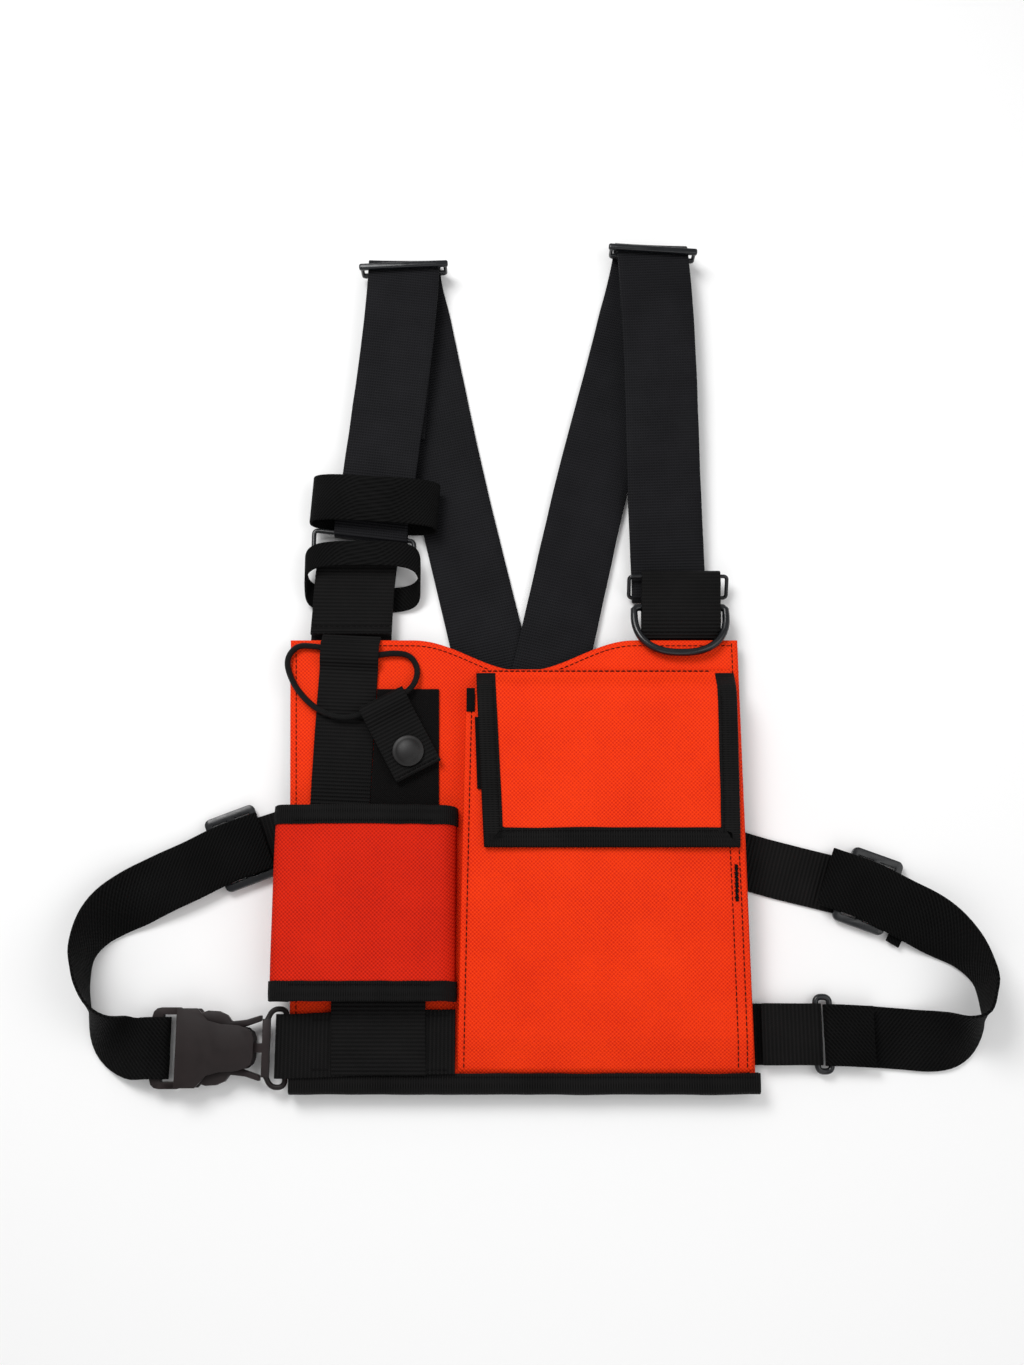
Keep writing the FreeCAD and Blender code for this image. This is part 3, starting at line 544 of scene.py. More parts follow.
def lowerTape(column, row):
    section = [(-102.6, 4.4), (-107, 4.35), (-111.4, 4.6), (-112.2, 6.0), (-112.3, 7.5), (-112.1, 9.0),
               (-111.2, 10.4), (-107, 10.75), (-102.7, 10.65)]
    y, z = section[column]
    x = tape["left"] + (tape["right"] - tape["left"]) * row / tape["rows"]
    sway = 0.45 * drift(x * 0.05, 4.0, 0)
    lift = 0.25 * drift(x * 0.11, 9.0, y * 0.1)
    return at(x, y + sway, z + lift), (column * 2.4 * mm, x * mm)


bm = shapedGrid(tape["columns"], tape["rows"], lowerTape)
outward(bm)
finishPiece("lower_tape", bm, "edgeTape", nodes=["bottom_binding"], thick=0.6, rounding=0.2)
stitches("lower_tape_stitch", [[(-108.5, -104.4, 11.1), (112.5, -104.4, 11.1)]])


# ---- main pocket
pocket = dict(leftTop=-27.0, leftBottom=-30.0, rightTop=108.0, rightBottom=110.8, mouth=80.0, bottom=-102.2,
              seamZ=10.35, columns=70, rows=72)


def pocketEdge(y, side):
    return sideEdge(pocket, side, (y - pocket["bottom"]) / (pocket["mouth"] - pocket["bottom"]))


def pocketTop(y):
    # height of the pocket's face along its length, sewn flat at its lower edge
    return alongSpine([(-102.2, 11.0), (-97, 12.6), (-86, 15.2), (-60, 17.0), (-20, 18.9), (30, 19.7), (60, 19.0),
                       (81, 17.8)], y, 0.4)


def pocketFace(x, y):
    left, right = pocketEdge(y, -1), pocketEdge(y, 1)
    share = min(max((x - left) / (right - left), 0.0), 1.0)
    crown = 0.7 * math.sin(math.pi * share) - 0.5
    fold = 0.75 * drift(x * 0.028 + y * 0.008, y * 0.016, 5.0)
    ease = min(1.0, 8 * share, 8 * (1 - share))
    return pocketTop(y) + crown + fold * ease * min(1.0, (y - pocket["bottom"]) / 12)


def pocketShape(column, row):
    columns, rows = pocket["columns"], pocket["rows"]
    rim = [(0.9, 1.0), (2.4, 0.55), (0.5, 0.16), (0.1, 0.05), (0.7, -0.02), (2.6, 0.03), (3.6, 0.0)]
    y = pocket["bottom"] + (pocket["mouth"] - pocket["bottom"]) * row / rows
    left, right = pocketEdge(y, -1), pocketEdge(y, 1)
    near = min(column, columns - column)
    x = left + (right - left) * column / columns
    drop = 0.0
    if near < len(rim):
        inset, drop = rim[near]
        x = left + inset if column < columns / 2 else right - inset
    z = pocketFace(x, y)
    if near < len(rim):
        z -= (z - pocket["seamZ"]) * drop
    far = x + (10 - z) * (0.5 if drop > 0.1 else 0)
    return at(x, y, z), (far * mm, y * mm)


finishPiece("pocket_bag", shapedGrid(pocket["columns"], pocket["rows"], pocketShape), "pocketCloth",
            nodes=["pocket_shell"], thick=0.7, offset=-1)


def pocketSeam(side, inset, proud):
    # seam down one side of the pocket, inset from its edge
    def place(y):
        x = pocketEdge(y, side) - side * inset
        return x, y, pocketFace(x, y) + proud

    return sampled(place, -99, 79, 60)


stitches("pocket_topstitch", [pocketSeam(-1, 3.1, 0.25), pocketSeam(1, 3.1, 0.25), pocketSeam(1, 7.4, 0.2)])
print("pocket made")

# ---- radio band
band = dict(
    section=[(-111.0, 10.5), (-116.0, 12.0), (-119.2, 16.0), (-117.6, 21.4), (-108.0, 23.2), (-95.0, 24.2),
             (-78.0, 24.4), (-60.0, 23.8), (-45.0, 22.4), (-36.0, 20.4), (-32.4, 16.0), (-31.4, 10.5)],
    top=14.5, bottom=-60.0, under=2, tape=9.5, rows=30)
bandRun = curvedThrough([(x, 0.0, z) for x, z in band["section"]], 3.0)


def bandPlace(index, y, grow):
    here = Vector(bandRun[index])
    ahead = Vector(bandRun[min(index + 1, len(bandRun) - 1)]) - Vector(bandRun[max(index - 1, 0)])
    out = Vector((-ahead.z, 0, ahead.x)).normalized()
    ease = min(index, len(bandRun) - 1 - index) / 6
    sag = 0.5 * drift(here.x * 0.03, y * 0.03, 8.0) * min(1.0, ease)
    return Vector((here.x, y, here.z)) + out * (grow + sag)


def bandShape(column, row):
    y = band["bottom"] - band["under"] + (band["top"] - band["bottom"] + 2 * band["under"]) * row / band["rows"]
    spot = bandPlace(column, y, 0.0)
    return at(*spot), (spot.x * mm, y * mm)


bandColumns = len(bandRun) - 1
finishPiece("radio_band_cloth", shapedGrid(bandColumns, band["rows"], bandShape), "bandCloth",
            nodes=["radio_band"], thick=0.7)


def bandTape(name, node, free, inner):
    # tape folded over one free edge of the band; free and inner are its outer and sewn edges
    lie = [(inner + (free - inner) * s, g) for s, g in
           ((0.15, -0.85), (0.6, -0.9), (0.97, -0.8), (1.0, 0.0), (0.97, 0.7), (0.6, 0.85), (0.0, 0.8))]

    def shaper(column, row):
        y, grow = lie[row]
        sway = 0.35 * drift(column * 0.3, free, 2.0)
        spot = bandPlace(column, y + sway, grow)
        return at(*spot), (row * 2.4 * mm, column * 3.0 * mm)

    bm = shapedGrid(bandColumns, 6, shaper)
    if free < inner:
        bmesh.ops.reverse_faces(bm, faces=bm.faces)
    return finishPiece(name, bm, "edgeTape", nodes=[node], thick=0.5, rounding=0.15)


bandTape("band_tape_top", "band_top_binding", band["top"] + band["tape"] - 0.2, band["top"])
bandTape("band_tape_bottom", "band_bottom_binding", band["bottom"] - band["tape"] + 0.2, band["bottom"])
rows = []
for y in (band["top"] + 1.7, band["bottom"] - 1.7):
    rows.append([tuple(bandPlace(i, y, 1.25)) for i in range(10, bandColumns - 6)])
stitches("band_stitch", rows)
print("radio band made")

# ---- flap
flap = dict(leftTop=-21.8, leftBottom=-17.4, rightTop=107.4, rightBottom=106.4, bottom=3.5, foldTop=92,
            clothTop=94.0, inset=0.8, columns=50, rows=44)


def flapHeight(y):
    # height of the flap's middle, down over its fold at the top
    return alongSpine([(3.5, 21.1), (30, 21.6), (60, 21.0), (76, 20.3), (83.5, 18.4), (88, 14.2), (91.0, 11.3),
                       (96, 10.6)], y)


def flapEdge(y, side):
    return sideEdge(flap, side, (y - flap["bottom"]) / (flap["foldTop"] - flap["bottom"]))


def flapFace(x, y):
    ripple = 0.5 * drift(x * 0.03, y * 0.03, 11.0)
    return flapHeight(y) + ripple * min(1.0, max(0.0, (86 - y) / 20))


def flapShape(column, row):
    low = flap["bottom"] + flap["inset"]
    y = low + (flap["clothTop"] - low) * row / flap["rows"]
    left, right = flapEdge(y, -1) + flap["inset"], flapEdge(y, 1) - flap["inset"]
    x = left + (right - left) * column / flap["columns"]
    return at(x, y, flapFace(x, y)), (x * mm, y * mm)


flapBend = ((40, 92.5, 11), (40, 86.5, 11))
finishPiece("flap_cloth", shapedGrid(flap["columns"], flap["rows"], flapShape), "pocketCloth", "pocket_flap",
            ["pocket_flap"], flapBend, thick=1.3)


def flapTape():
    # tape round the flap's three free edges, mitred at the corners
    path = [(-1, y) for y in (92, 90.5, 89, 87.5, 86, 84.5, 82, 78, 70, 60, 50, 40, 30, 20, 10)] + [(-1, 3.5)]
    places = [(flapEdge(y, s), y, 1.0, 0.0) for s, y in path[:-1]]
    left, right = flapEdge(3.5, -1), flapEdge(3.5, 1)
    places.append((left, 3.5, 1.0, 1.0))
    places += [(left + (right - left) * i / 14, 3.5, 0.0, 1.0) for i in range(1, 14)]
    places.append((right, 3.5, -1.0, 1.0))
    places += [(flapEdge(y, 1), y, -1.0, 0.0) for s, y in reversed(path[:-1])]
    section = [(8.0, -0.95), (4.0, -1.0), (0.4, -0.95), (0.0, 0.0), (0.4, 0.95), (4.0, 1.15), (9.4, 1.0)]
    lengths = [0.0]
    for one, two in zip(places, places[1:]):
        lengths.append(lengths[-1] + math.dist(one[:2], two[:2]))

    def shaper(column, row):
        x, y, inX, inY = places[row]
        inset, lift = section[column]
        sway = 0.35 * drift(lengths[row] * 0.04, 6.0, 0) if column > 4 else 0.0
        px = x + inX * (inset + sway)
        py = y + inY * (inset + sway)
        return at(px, py, flapFace(px, py) + lift), (inset * mm, lengths[row] * mm)

    bm = shapedGrid(6, len(places) - 1, shaper)
    outward(bm)
    return finishPiece("flap_tape", bm, "edgeTape", "pocket_flap", ["flap_binding"], flapBend, thick=0.5,
                       rounding=0.15)


flapTape()
inner, proud = 7.9, 1.45  # the seam's distance from the flap's edge and above its cloth
seamY = flap["bottom"] + inner
flapRun = [(flapEdge(y, -1) + inner, y, flapFace(flapEdge(y, -1) + inner, y) + proud) for y in range(86, 12, -4)]
flapRun.append((flapEdge(flap["bottom"], -1) + inner, seamY, flapFace(0, 11) + proud))
flapLow = [(x, seamY, flapFace(x, seamY) + proud) for x in range(-9, 99, 4)]
flapRight = [(flapEdge(y, 1) - inner, y, flapFace(flapEdge(y, 1) - inner, y) + proud) for y in range(11, 87, 4)]
stitches("flap_stitch", [flapRun, flapLow, flapRight], "pocket_flap")
foldY = 93.2  # seam at the flap's fold
flapFold = [(x, foldY, flapFace(x, foldY) + 0.75) for x in range(-18, 98, 4)]
stitches("flap_fold_stitch", [flapFold], length=2.7, girth=0.4)


def patchPiece(name, corners, height, finish, nodes, body="root", columns=14, rows=20, thick=1.0):
    # flat sewn patch between four corners: lower left, lower right, upper right, upper left
    low = [Vector(c) for c in corners]

    def shaper(column, row):
        u, v = column / columns, row / rows
        flat = low[0].lerp(low[1], u).lerp(low[3].lerp(low[2], u), v)
        lift = 0.15 * drift(flat.x * 0.2, flat.y * 0.2, 1.0)
        z = height(flat.x, flat.y) if callable(height) else height
        return at(flat.x, flat.y, z + lift), (flat.x * mm, flat.y * mm)

    return finishPiece(name, shapedGrid(columns, rows, shaper), finish, body, nodes, thick=thick, rounding=0.25)


patchPiece("flap_hook", [(-21, 32), (94, 32), (94, 68), (-22.4, 68)], lambda x, y: flapFace(x, y) - 1.2, "hookLoop",
           ["flap_hook_strip"], "pocket_flap", 30, 12, 0.7)
patchPiece("pocket_loop", [(-26.6, 71), (-22.4, 71), (-22.4, 83), (-26.6, 83)], 18.2, "hookLoop",
           ["pocket_loop_strip"], thick=0.8, columns=4, rows=8)
patchPiece("loop_patch_cloth", [(-74, 25), (-40, 25), (-40.6, 84.1), (-71.6, 84.1)], 10.8, "hookLoop",
           ["loop_patch"], thick=0.9)
print("flap made")

# ---- webbing sewn to the panel
webPiece(dict(name="sling_web_strap", width=45, thick=1.3, seed=2.0),
         [(-68.2, 6, 13.4, 0), (-68, -60, 13.4, 0), (-67.4, -92, 13.3, 0), (-67.3, -103.5, 12.2, 0)],
         "linkWebbing", ["sling_web"])
webPiece(dict(name="radio_back_strap", width=29.5, thick=1.2, seed=3.0),
         [(-85, 111.6, 10.95, -2.5), (-85.4, 108.4, 12.4, -2.5), (-85.6, 106.4, 14.6, -2.5),
          (-85.8, 98.6, 14.6, -2.5), (-86, 95.6, 12.2, -2.5), (-86.2, 92, 11.1, -2.5),
          (-88.8, 26, 11.0, -2.5), (-89.3, 10, 11.0, -2.5)],
         "linkWebbing", ["radio_back_web"])
webPiece(dict(name="buckle_web", width=30, thick=1.2, seed=4.0, gap=2.5),
         [(-31, -88, 11.9, 90), (-70, -88.6, 11.9, 90), (-106, -90, 11.9, 90)]
         + endTurn(-111.9, -90.2, 7.0, 4.9, -1, 90) + [(-96, -89.8, 2.1, 90)],
         "linkWebbing", ["lower_left_web"])
webPiece(dict(name="ring_web", width=29, thick=1.2, seed=5.0, gap=2.5),
         [(96, -84.6, 1.2, 90), (130, -84.6, 1.2, 90)] + endTurn(142.4, -84.6, 3.6, 2.4, 1, 90, top=False)
         + [(116, -84.6, 6.0, 90)],
         "linkWebbing", ["lower_right_web"])

# ---- shoulder straps
leftLay, rightLay = -6.6, 2.2
shoulder = dict(width=38.0, thick=1.4, gap=4.0, columns=10)
webPiece(dict(shoulder, name="left_strap", seed=6.0),
         [(-76.6, 180, 4.0, leftLay)] + turnRound(166.0, 6.15, 2.15, 270, 90, 6, -76.9, leftLay)
         + [(-73.2, 198, 8.4, leftLay)] + turnRound(316, 6, 5.3, 90, -90, 8, -62, leftLay, 12.6, -61.5)
         + [(-55.3, 285, 0.8, 13.0), (-37.7, 199.6, 0.8, 13.4), (-18.6, 118.5, 0.8, 13.4), (4.6, 22, 0.8, 13.4)],
         "shoulderWebbing", ["left_shoulder_strap"])
webPiece(dict(shoulder, name="right_strap", seed=7.0),
         [(76.8, 152, 0.9, 1.0)] + turnRound(134, 3.0, 2.1, 270, 90, 6, 76.8, 0)
         + [(76.3, 146, 5.1, 1.0), (75.6, 166, 8.0, rightLay)]
         + turnRound(325, 6.6, 5.3, 90, -90, 8, 71.5, rightLay, -13, 69.6)
         + [(61, 287, 1.3, -13.4), (36.6, 190, 2.4, -13.4), (20.4, 118.1, 2.4, -13.4), (-1.6, 22, 2.4, -13.4)],
         "shoulderWebbing", ["right_shoulder_strap"])
webPiece(dict(name="left_leg", width=36, thick=1.2, seed=8.0),
         [(-62.2, 305, 8.8, 2.7)] + turnRound(314.6, 7.0, 1.8, 90, -90, 6, -62, 2.7)
         + [(-62.9, 303, 5.3, 0), (-67.8, 222, 5.0, leftLay)],
         "shoulderWebbing", ["left_return_leg"], "left_adjuster", ((-68, 224, 5), (-63, 298, 5)))
webPiece(dict(name="right_leg", width=36, thick=1.2, seed=9.0),
         [(71.9, 314, 9.4, -4.0)] + turnRound(323.6, 7.6, 1.8, 90, -90, 6, 71.5, -4.0)
         + [(71.8, 312, 5.9, 0), (75, 222, 5.2, rightLay)],
         "shoulderWebbing", ["right_return_leg"], "right_adjuster", ((75, 224, 5), (72, 306, 5)))
webPiece(dict(name="left_link", width=41, thick=1.2, seed=10.0, gap=3),
         [(-86.2, 96, 3.7, 0), (-86, 114, 3.9, 0), (-84.4, 145, 4.0, -1.0)]
         + turnRound(154.6, 6.15, 2.15, -90, 90, 6, -83.6, 0) + [(-84.4, 142, 8.3, -1.0), (-85.9, 113, 8.3, 0)],
         "linkWebbing", ["left_link_web"])
webPiece(dict(name="right_tab_web", width=40, thick=1.2, seed=11.0, gap=3),
         [(81.8, 96, 3.8, 0), (81.9, 112, 3.9, 0), (82, 120, 4.4, 0), (82, 131, 6.9, 0)]
         + turnRound(143.6, 9.4, 2.2, -90, 90, 6, 82.4, 0)
         + [(82, 131, 12.3, 0), (82, 124, 12.3, 0), (81.8, 111, 9.0, 0)],
         "linkWebbing", ["right_tab"])
print("shoulder straps made")

# ---- side straps
webPiece(dict(name="left_side_strap", width=29, thick=1.2, seed=12.0),
         [(-27, 34, 0.7, 100), (-80, 22, 0.7, 104), (-118, 9.6, 0.7, 108), (-136, 3.6, 0.7, 111)],
         "linkWebbing", ["left_side_web"])
webPiece(dict(name="right_side_strap", width=28, thick=1.2, seed=13.0),
         [(27, 26, 0.7, 78), (80, 9, 0.7, 76), (116, -2.6, 0.7, 74), (158, -13.4, 0.7, 72)],
         "linkWebbing", ["right_side_web"])


def rolled(stations, width=29.0, thick=1.4):
    # (x, y, gap under the lower edge, lay, tilt) to stations with a middle height
    made = []
    for x, y, lift, lay, lean in stations:
        turn = math.radians(lean)
        made.append((x, y, lift + width / 2 * abs(math.sin(turn)) + thick / 2 * abs(math.cos(turn)), lay, lean))
    return made


sideElastic = dict(width=29.0, thick=1.4, gap=3.0, columns=10, ripple=0.3)
webPiece(dict(sideElastic, name="right_elastic_strap", seed=14.0),
         rolled([(150, -8.6, 4.9, 70, 0), (172, -16.6, 4.9, 70, 0), (187, -24.6, 4.9, 64, 3),
                 (198, -31, 3.0, 56, 18), (208.5, -39.5, 0.4, 47, 42), (217.5, -50, 0.3, 28, 68),
                 (222.8, -62, 0.3, 8, 86), (222, -74.5, 0.3, -18, 100), (215.5, -83, 0.3, -52, 124),
                 (207, -87, 0.3, -76, 152), (197, -87.8, 0.3, -86, 172), (183, -86.8, 0.4, -88, 180),
                 (166, -85.6, 0.5, -90, 180)])
         + [(x, -85.0, z, -90, 180) for x, y, z, a, b in endTurn(149.5, 0, 3.6, 2.6, -1, 0, top=False)]
         + [(170, -85.8, 6.2, -90, 180)],
         "elastic", ["right_elastic"])
webPiece(dict(sideElastic, name="left_elastic_strap", seed=15.0),
         rolled([(-126, 9.2, 4.9, 111, 0), (-146, 1.6, 4.9, 111, 0), (-162, -6.4, 4.9, 113, 0),
                 (-176, -13, 4.0, 116, 4), (-188.5, -20, 1.8, 120, 20), (-199.5, -28, 0.5, 132, 42),
                 (-207, -38, 0.3, 148, 66), (-210.6, -50, 0.3, 168, 84), (-209.4, -62, 0.3, 186, 92),
                 (-205.4, -73, 0.3, 200, 104), (-199.8, -83, 0.3, 226, 128), (-192, -89, 0.8, 252, 158),
                 (-184.5, -91.4, 5.4, 266, 175), (-177.5, -91, 9.2, 270, 180)])
         + endTurn(-171.8, -91, 6.5, 3.4, 1, 270, 180) + [(-184, -91.2, 2.6, 270, 180)],
         "elastic", ["left_elastic"], "buckle_female", ((-200, -26, 8), (-197, -86, 8)))
webPiece(dict(sideElastic, name="right_elastic_end", seed=16.0, width=28.0),
         [(185.2, -27.6, 2.6, 62, 0), (191.6, -31.4, 2.6, 60, 0)], "elastic", ["right_elastic_tail"])
print("side straps made")


# ---- elastic loops on the left strap
def elasticLoop(look, body, node):
    halfX, halfZ = look["width"] / 2 - 0.6, (look["high"] - look["low"]) / 2 - 0.6
    middleZ = (look["high"] + look["low"]) / 2
    steps = 88
    turn = math.radians(look["turn"])
    middleY = (look["yLow"] + look["yHigh"] + look["length"]) / 2

    def shaper(column, row):
        a = 2 * math.pi * row / steps
        x = halfX * math.copysign(abs(math.cos(a)) ** 0.5, math.cos(a))
        z = middleZ + halfZ * math.copysign(abs(math.sin(a)) ** look.get("square", 0.75), math.sin(a))
        share = column / 8
        y = look["yLow"] + (look["yHigh"] - look["yLow"]) * (z - look["low"]) / (look["high"] - look["low"])
        y += look["length"] * share
        bulge = 0.25 * drift(a * 1.3, share * 2, look["low"])
        dx, dy = x, y - middleY
        spot = (look["x"] + dx * math.cos(turn) - dy * math.sin(turn),
                middleY + dx * math.sin(turn) + dy * math.cos(turn), z + bulge * (1 if math.sin(a) > 0 else 0))
        return at(*spot), (look["length"] * share * mm, a / math.pi * look["width"] * mm)

    bm = shapedGrid(8, steps, shaper)
    bmesh.ops.remove_doubles(bm, verts=bm.verts, dist=0.02 * mm)
    outward(bm)
    return finishPiece(look["name"], bm, "elastic", body, [node], thick=look["thick"], rounding=0.25)


elasticLoop(dict(name="wide_keeper_loop", x=-74.9, width=66, low=1.7, high=15.4, yLow=169, yHigh=171.5,
                 length=24.5, thick=1.2, turn=-3.6), "wide_keeper", "wide_keeper")
elasticLoop(dict(name="antenna_elastic", x=-80.6, width=59.5, low=0.5, high=14.8, yLow=125.5, yHigh=149,
                 length=13, thick=1.1, turn=0, square=0.52), "antenna_loop", "antenna_loop")

# ---- back yoke
yoke = dict(corners=[(-38, 12), (-26, 2), (26, 2), (38, 12), (38, 44), (22, 62), (-22, 62), (-38, 44)],
            low=3.4, high=4.6)
bm = bmesh.new()
outline = [bm.verts.new(at(x, y, yoke["low"])) for x, y in yoke["corners"]]
plate = bm.faces.new(outline)
lifted = bmesh.ops.extrude_face_region(bm, geom=[plate])["geom"]
bmesh.ops.translate(bm, verts=[v for v in lifted if isinstance(v, bmesh.types.BMVert)],
                    vec=(0, 0, (yoke["high"] - yoke["low"]) * mm))
outward(bm)
finishPiece("yoke_patch", bm, "yokeLeather", nodes=["back_yoke"], rounding=0.35, sharp=40)
ring = [(x * 0.92, 32 + (y - 32) * 0.92) for x, y in yoke["corners"]]
ring.append(ring[0])
stitches("yoke_stitch", [[(x, y, z) for x, y in ring] for z in (yoke["low"] - 0.1, yoke["high"] + 0.1)])
print("loops and yoke made")


# ---- hardware
def polished(node, finish, name, body, width, angle=35):
    # a clean copy of a moulded part with softened edges
    bm = bmesh.new()
    bm.from_mesh(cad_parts[node].data)
    bmesh.ops.remove_doubles(bm, verts=bm.verts, dist=0.01 * mm)
    bmesh.ops.dissolve_limit(bm, angle_limit=math.radians(1), verts=bm.verts, edges=bm.edges)
    corners = [e for e in bm.edges if len(e.link_faces) == 2 and e.calc_face_angle() > math.radians(angle)]
    bmesh.ops.bevel(bm, geom=corners, offset=width * mm, affect="EDGES", segments=2, profile=0.5, material=-1,
                    clamp_overlap=True)
    bmesh.ops.triangulate(bm, faces=[f for f in bm.faces if len(f.verts) > 4])
    return finishPiece(name, bm, finish, body, [node], sharp=32)


moulded = [
    # node, look, name, body, edge rounding
    ("buckle_female", "buckleAcetal", "buckle_socket", "buckle_female", 0.7),
    ("buckle_male", "buckleAcetal", "buckle_plug", "root", 0.35),
    ("prong_upper", "buckleAcetal", "buckle_prong_upper", "prong_upper", 0.6),
    ("prong_lower", "buckleAcetal", "buckle_prong_lower", "prong_lower", 0.6),
    ("left_side_triglide", "glossNylon", "left_side_slide_plate", "left_side_slide", 0.6),
    ("right_side_triglide", "glossNylon", "right_side_slide_plate", "right_side_slide", 0.6),
]
for row in moulded:
    polished(*row)


def barPiece(name, runs, radius, finish, body, nodes):
    # round nylon bar along one or more runs of places, a closed run where the last place is the first
    curve = bpy.data.curves.new(name + "_path", "CURVE")
    curve.dimensions = "3D"
    curve.bevel_depth = radius * mm
    curve.bevel_resolution = 5
    curve.use_fill_caps = True
    for run in runs:
        closed = run[0] == run[-1]
        places = run[:-1] if closed else run
        spline = curve.splines.new("POLY")
        spline.points.add(len(places) - 1)
        for point, place in zip(spline.points, places):
            point.co = (*at(*place), 1.0)
        spline.use_cyclic_u = closed
    holder = bpy.data.objects.new(name + "_path", curve)
    intoScene(holder)
    bpy.context.view_layer.update()
    mesh = bpy.data.meshes.new_from_object(holder.evaluated_get(bpy.context.evaluated_depsgraph_get()))
    bpy.data.objects.remove(holder)
    bm = bmesh.new()
    bm.from_mesh(mesh)
    bmesh.ops.remove_doubles(bm, verts=bm.verts, dist=0.005 * mm)
    outward(bm)
    return finishPiece(name, bm, finish, body, nodes, sharp=50)


def roundedRun(corners, reach, steps=6):
    # closed run with each corner rounded
    run = []
    count = len(corners)
    for i, corner in enumerate(corners):
        here = Vector(corner)
        before, after = Vector(corners[i - 1]), Vector(corners[(i + 1) % count])
        start = here + (before - here).normalized() * reach
        end = here + (after - here).normalized() * reach
        for step in range(steps + 1):
            t = step / steps
            run.append(tuple(start * (1 - t) ** 2 + here * 2 * t * (1 - t) + end * t ** 2))
    return run + [run[0]]


slope = math.tan(math.radians(leftLay))
barPiece("left_strap_ring", [roundedRun([(-106.4, 154.6, 6.15), (-54.6, 154.6, 6.15),
         (-54.6, 166 + slope * 22.3, 6.15), (-106.4, 166 - slope * 29.5, 6.15)], 2.4)], 1.2, "glossNylon", "root",
         ["left_link_ring"])
barPiece("right_strap_ring", [roundedRun([(56, 134, 3.0), (106, 134, 3.0), (106, 143.6, 9.4),
         (56, 143.6, 9.4)], 2.0)], 1.0, "glossNylon", "root", ["right_link_ring"])
barPiece("right_side_ring", [roundedRun([(142.6, -102, 3.6), (149.3, -102, 3.6), (149.3, -67, 3.6),
         (142.6, -67, 3.6)], 3.0)], 1.5, "glossNylon", "root", ["right_ring"])

dRing = dict(x=81.4, y=127.0, z=9.4, half=23.3, reach=25.2, bar=1.9, lean=11.0)


def dRingRun():
    run = []
    for i in range(41):
        a = math.pi * i / 40
        x = dRing["half"] * math.copysign(abs(math.cos(a)) ** 0.82, math.cos(a))
        run.append((x, -5.0 - (dRing["reach"] - 5.0) * math.sin(a) ** 0.9))
    flat = [(dRing["half"] - 1.5, 0.0), (dRing["half"], -1.5)] + run + [(-dRing["half"], -1.5),
                                                                        (-dRing["half"] + 1.5, 0.0)]
    lean = math.radians(dRing["lean"])
    places = [(dRing["x"] + x, dRing["y"] + y * math.cos(lean), dRing["z"] - y * math.sin(lean)) for x, y in flat]
    return places + [places[0]]


barPiece("chest_d_ring", [dRingRun()], dRing["bar"], "glossNylon", "d_ring", ["d_ring"])


def shoulderSlide(name, x, y, lift, turn, body, node):
    # three-bar slide on edge in the strap's top fold, its top rail squared and rounded
    half = 22.15
    frameRun = roundedRun([(-half, 0, 14.2 + lift), (half, 0, 14.2 + lift), (half, 0, 3.5 + lift),
                           (-half, 0, 3.5 + lift)], 1.6)
    lay = math.radians(turn)

    def placed(px, py, pz):
        return (x + px * math.cos(lay) - py * math.sin(lay), y + px * math.sin(lay) + py * math.cos(lay), pz)

    frameRun = [placed(*p) for p in frameRun]
    barPiece(name + "_frame", [frameRun], 1.0, "glossNylon", body, [node])
    barPiece(name + "_bar", [[placed(-half, -1.0, 7 + lift), placed(half, -1.0, 7 + lift)]], 1.05, "glossNylon",
             body, [node])
    bm = bmesh.new()
    bmesh.ops.create_cube(bm, size=1.0)
    bmesh.ops.scale(bm, vec=(47.5 * mm, 3.4 * mm, 3.0 * mm), verts=bm.verts)
    bmesh.ops.bevel(bm, geom=bm.edges[:], offset=1.1 * mm, affect="EDGES", segments=4, profile=0.5, material=-1)
    bmesh.ops.rotate(bm, verts=bm.verts, cent=(0, 0, 0), matrix=Matrix.Rotation(lay, 3, "Z"))
    bmesh.ops.translate(bm, verts=bm.verts, vec=at(x, y, 14.2 + lift))
    finishPiece(name + "_rail", bm, "glossNylon", body, [node], sharp=40)


shoulderSlide("left_shoulder_slide", -62.0, 315.6, 0.0, 2.7, "left_adjuster", "left_shoulder_triglide")
shoulderSlide("right_shoulder_slide", 71.5, 324.6, 0.6, -4.0, "right_adjuster", "right_shoulder_triglide")
print("hardware made")

# ---- elastic cord
cord = dict(length=0.166, girth=0.003)
cordRoute = [
    (-84.5, 103.8, 12.2), (-94.0, 104.4, 12.0), (-103.6, 106.0, 11.9), (-112.6, 106.6, 11.9),
    (-118.0, 99.0, 11.9), (-114.6, 88.0, 11.9), (-107.6, 78.4, 12.8), (-98.6, 71.4, 13.9),
    (-87.5, 68.0, 15.0), (-76.2, 71.1, 15.0), (-65.2, 77.0, 15.0), (-54.2, 82.7, 14.8),
    (-50.6, 93.0, 12.2), (-55.0, 101.6, 11.9), (-64.6, 102.6, 12.0), (-74.0, 100.8, 12.0),
    (-83.0, 100.3, 12.2),
]
cordCurve = bpy.data.curves.new("shock_cord_line", "CURVE")
cordCurve.dimensions = "3D"
cordCurve.bevel_depth = cord["girth"] / 2
cordCurve.bevel_resolution = 5
cordCurve.use_fill_caps = True
spline = cordCurve.splines.new("NURBS")
spline.points.add(len(cordRoute) - 1)
for point, place in zip(spline.points, cordRoute):
    point.co = (*at(*place), 1.0)
spline.order_u = 3
spline.use_endpoint_u = True
spline.resolution_u = 12
cordCurve.materials.append(paint["cord"])
cordPiece = bpy.data.objects.new("shock_cord_line", cordCurve)
intoScene(cordPiece)
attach(cordPiece, "root")
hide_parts("shock_cord")

# ---- snap tab on the cord
tab = dict(x=-68.0, y=75.5, width=24.6, turn=28.0, thick=1.1)
tabTurn = math.radians(tab["turn"])


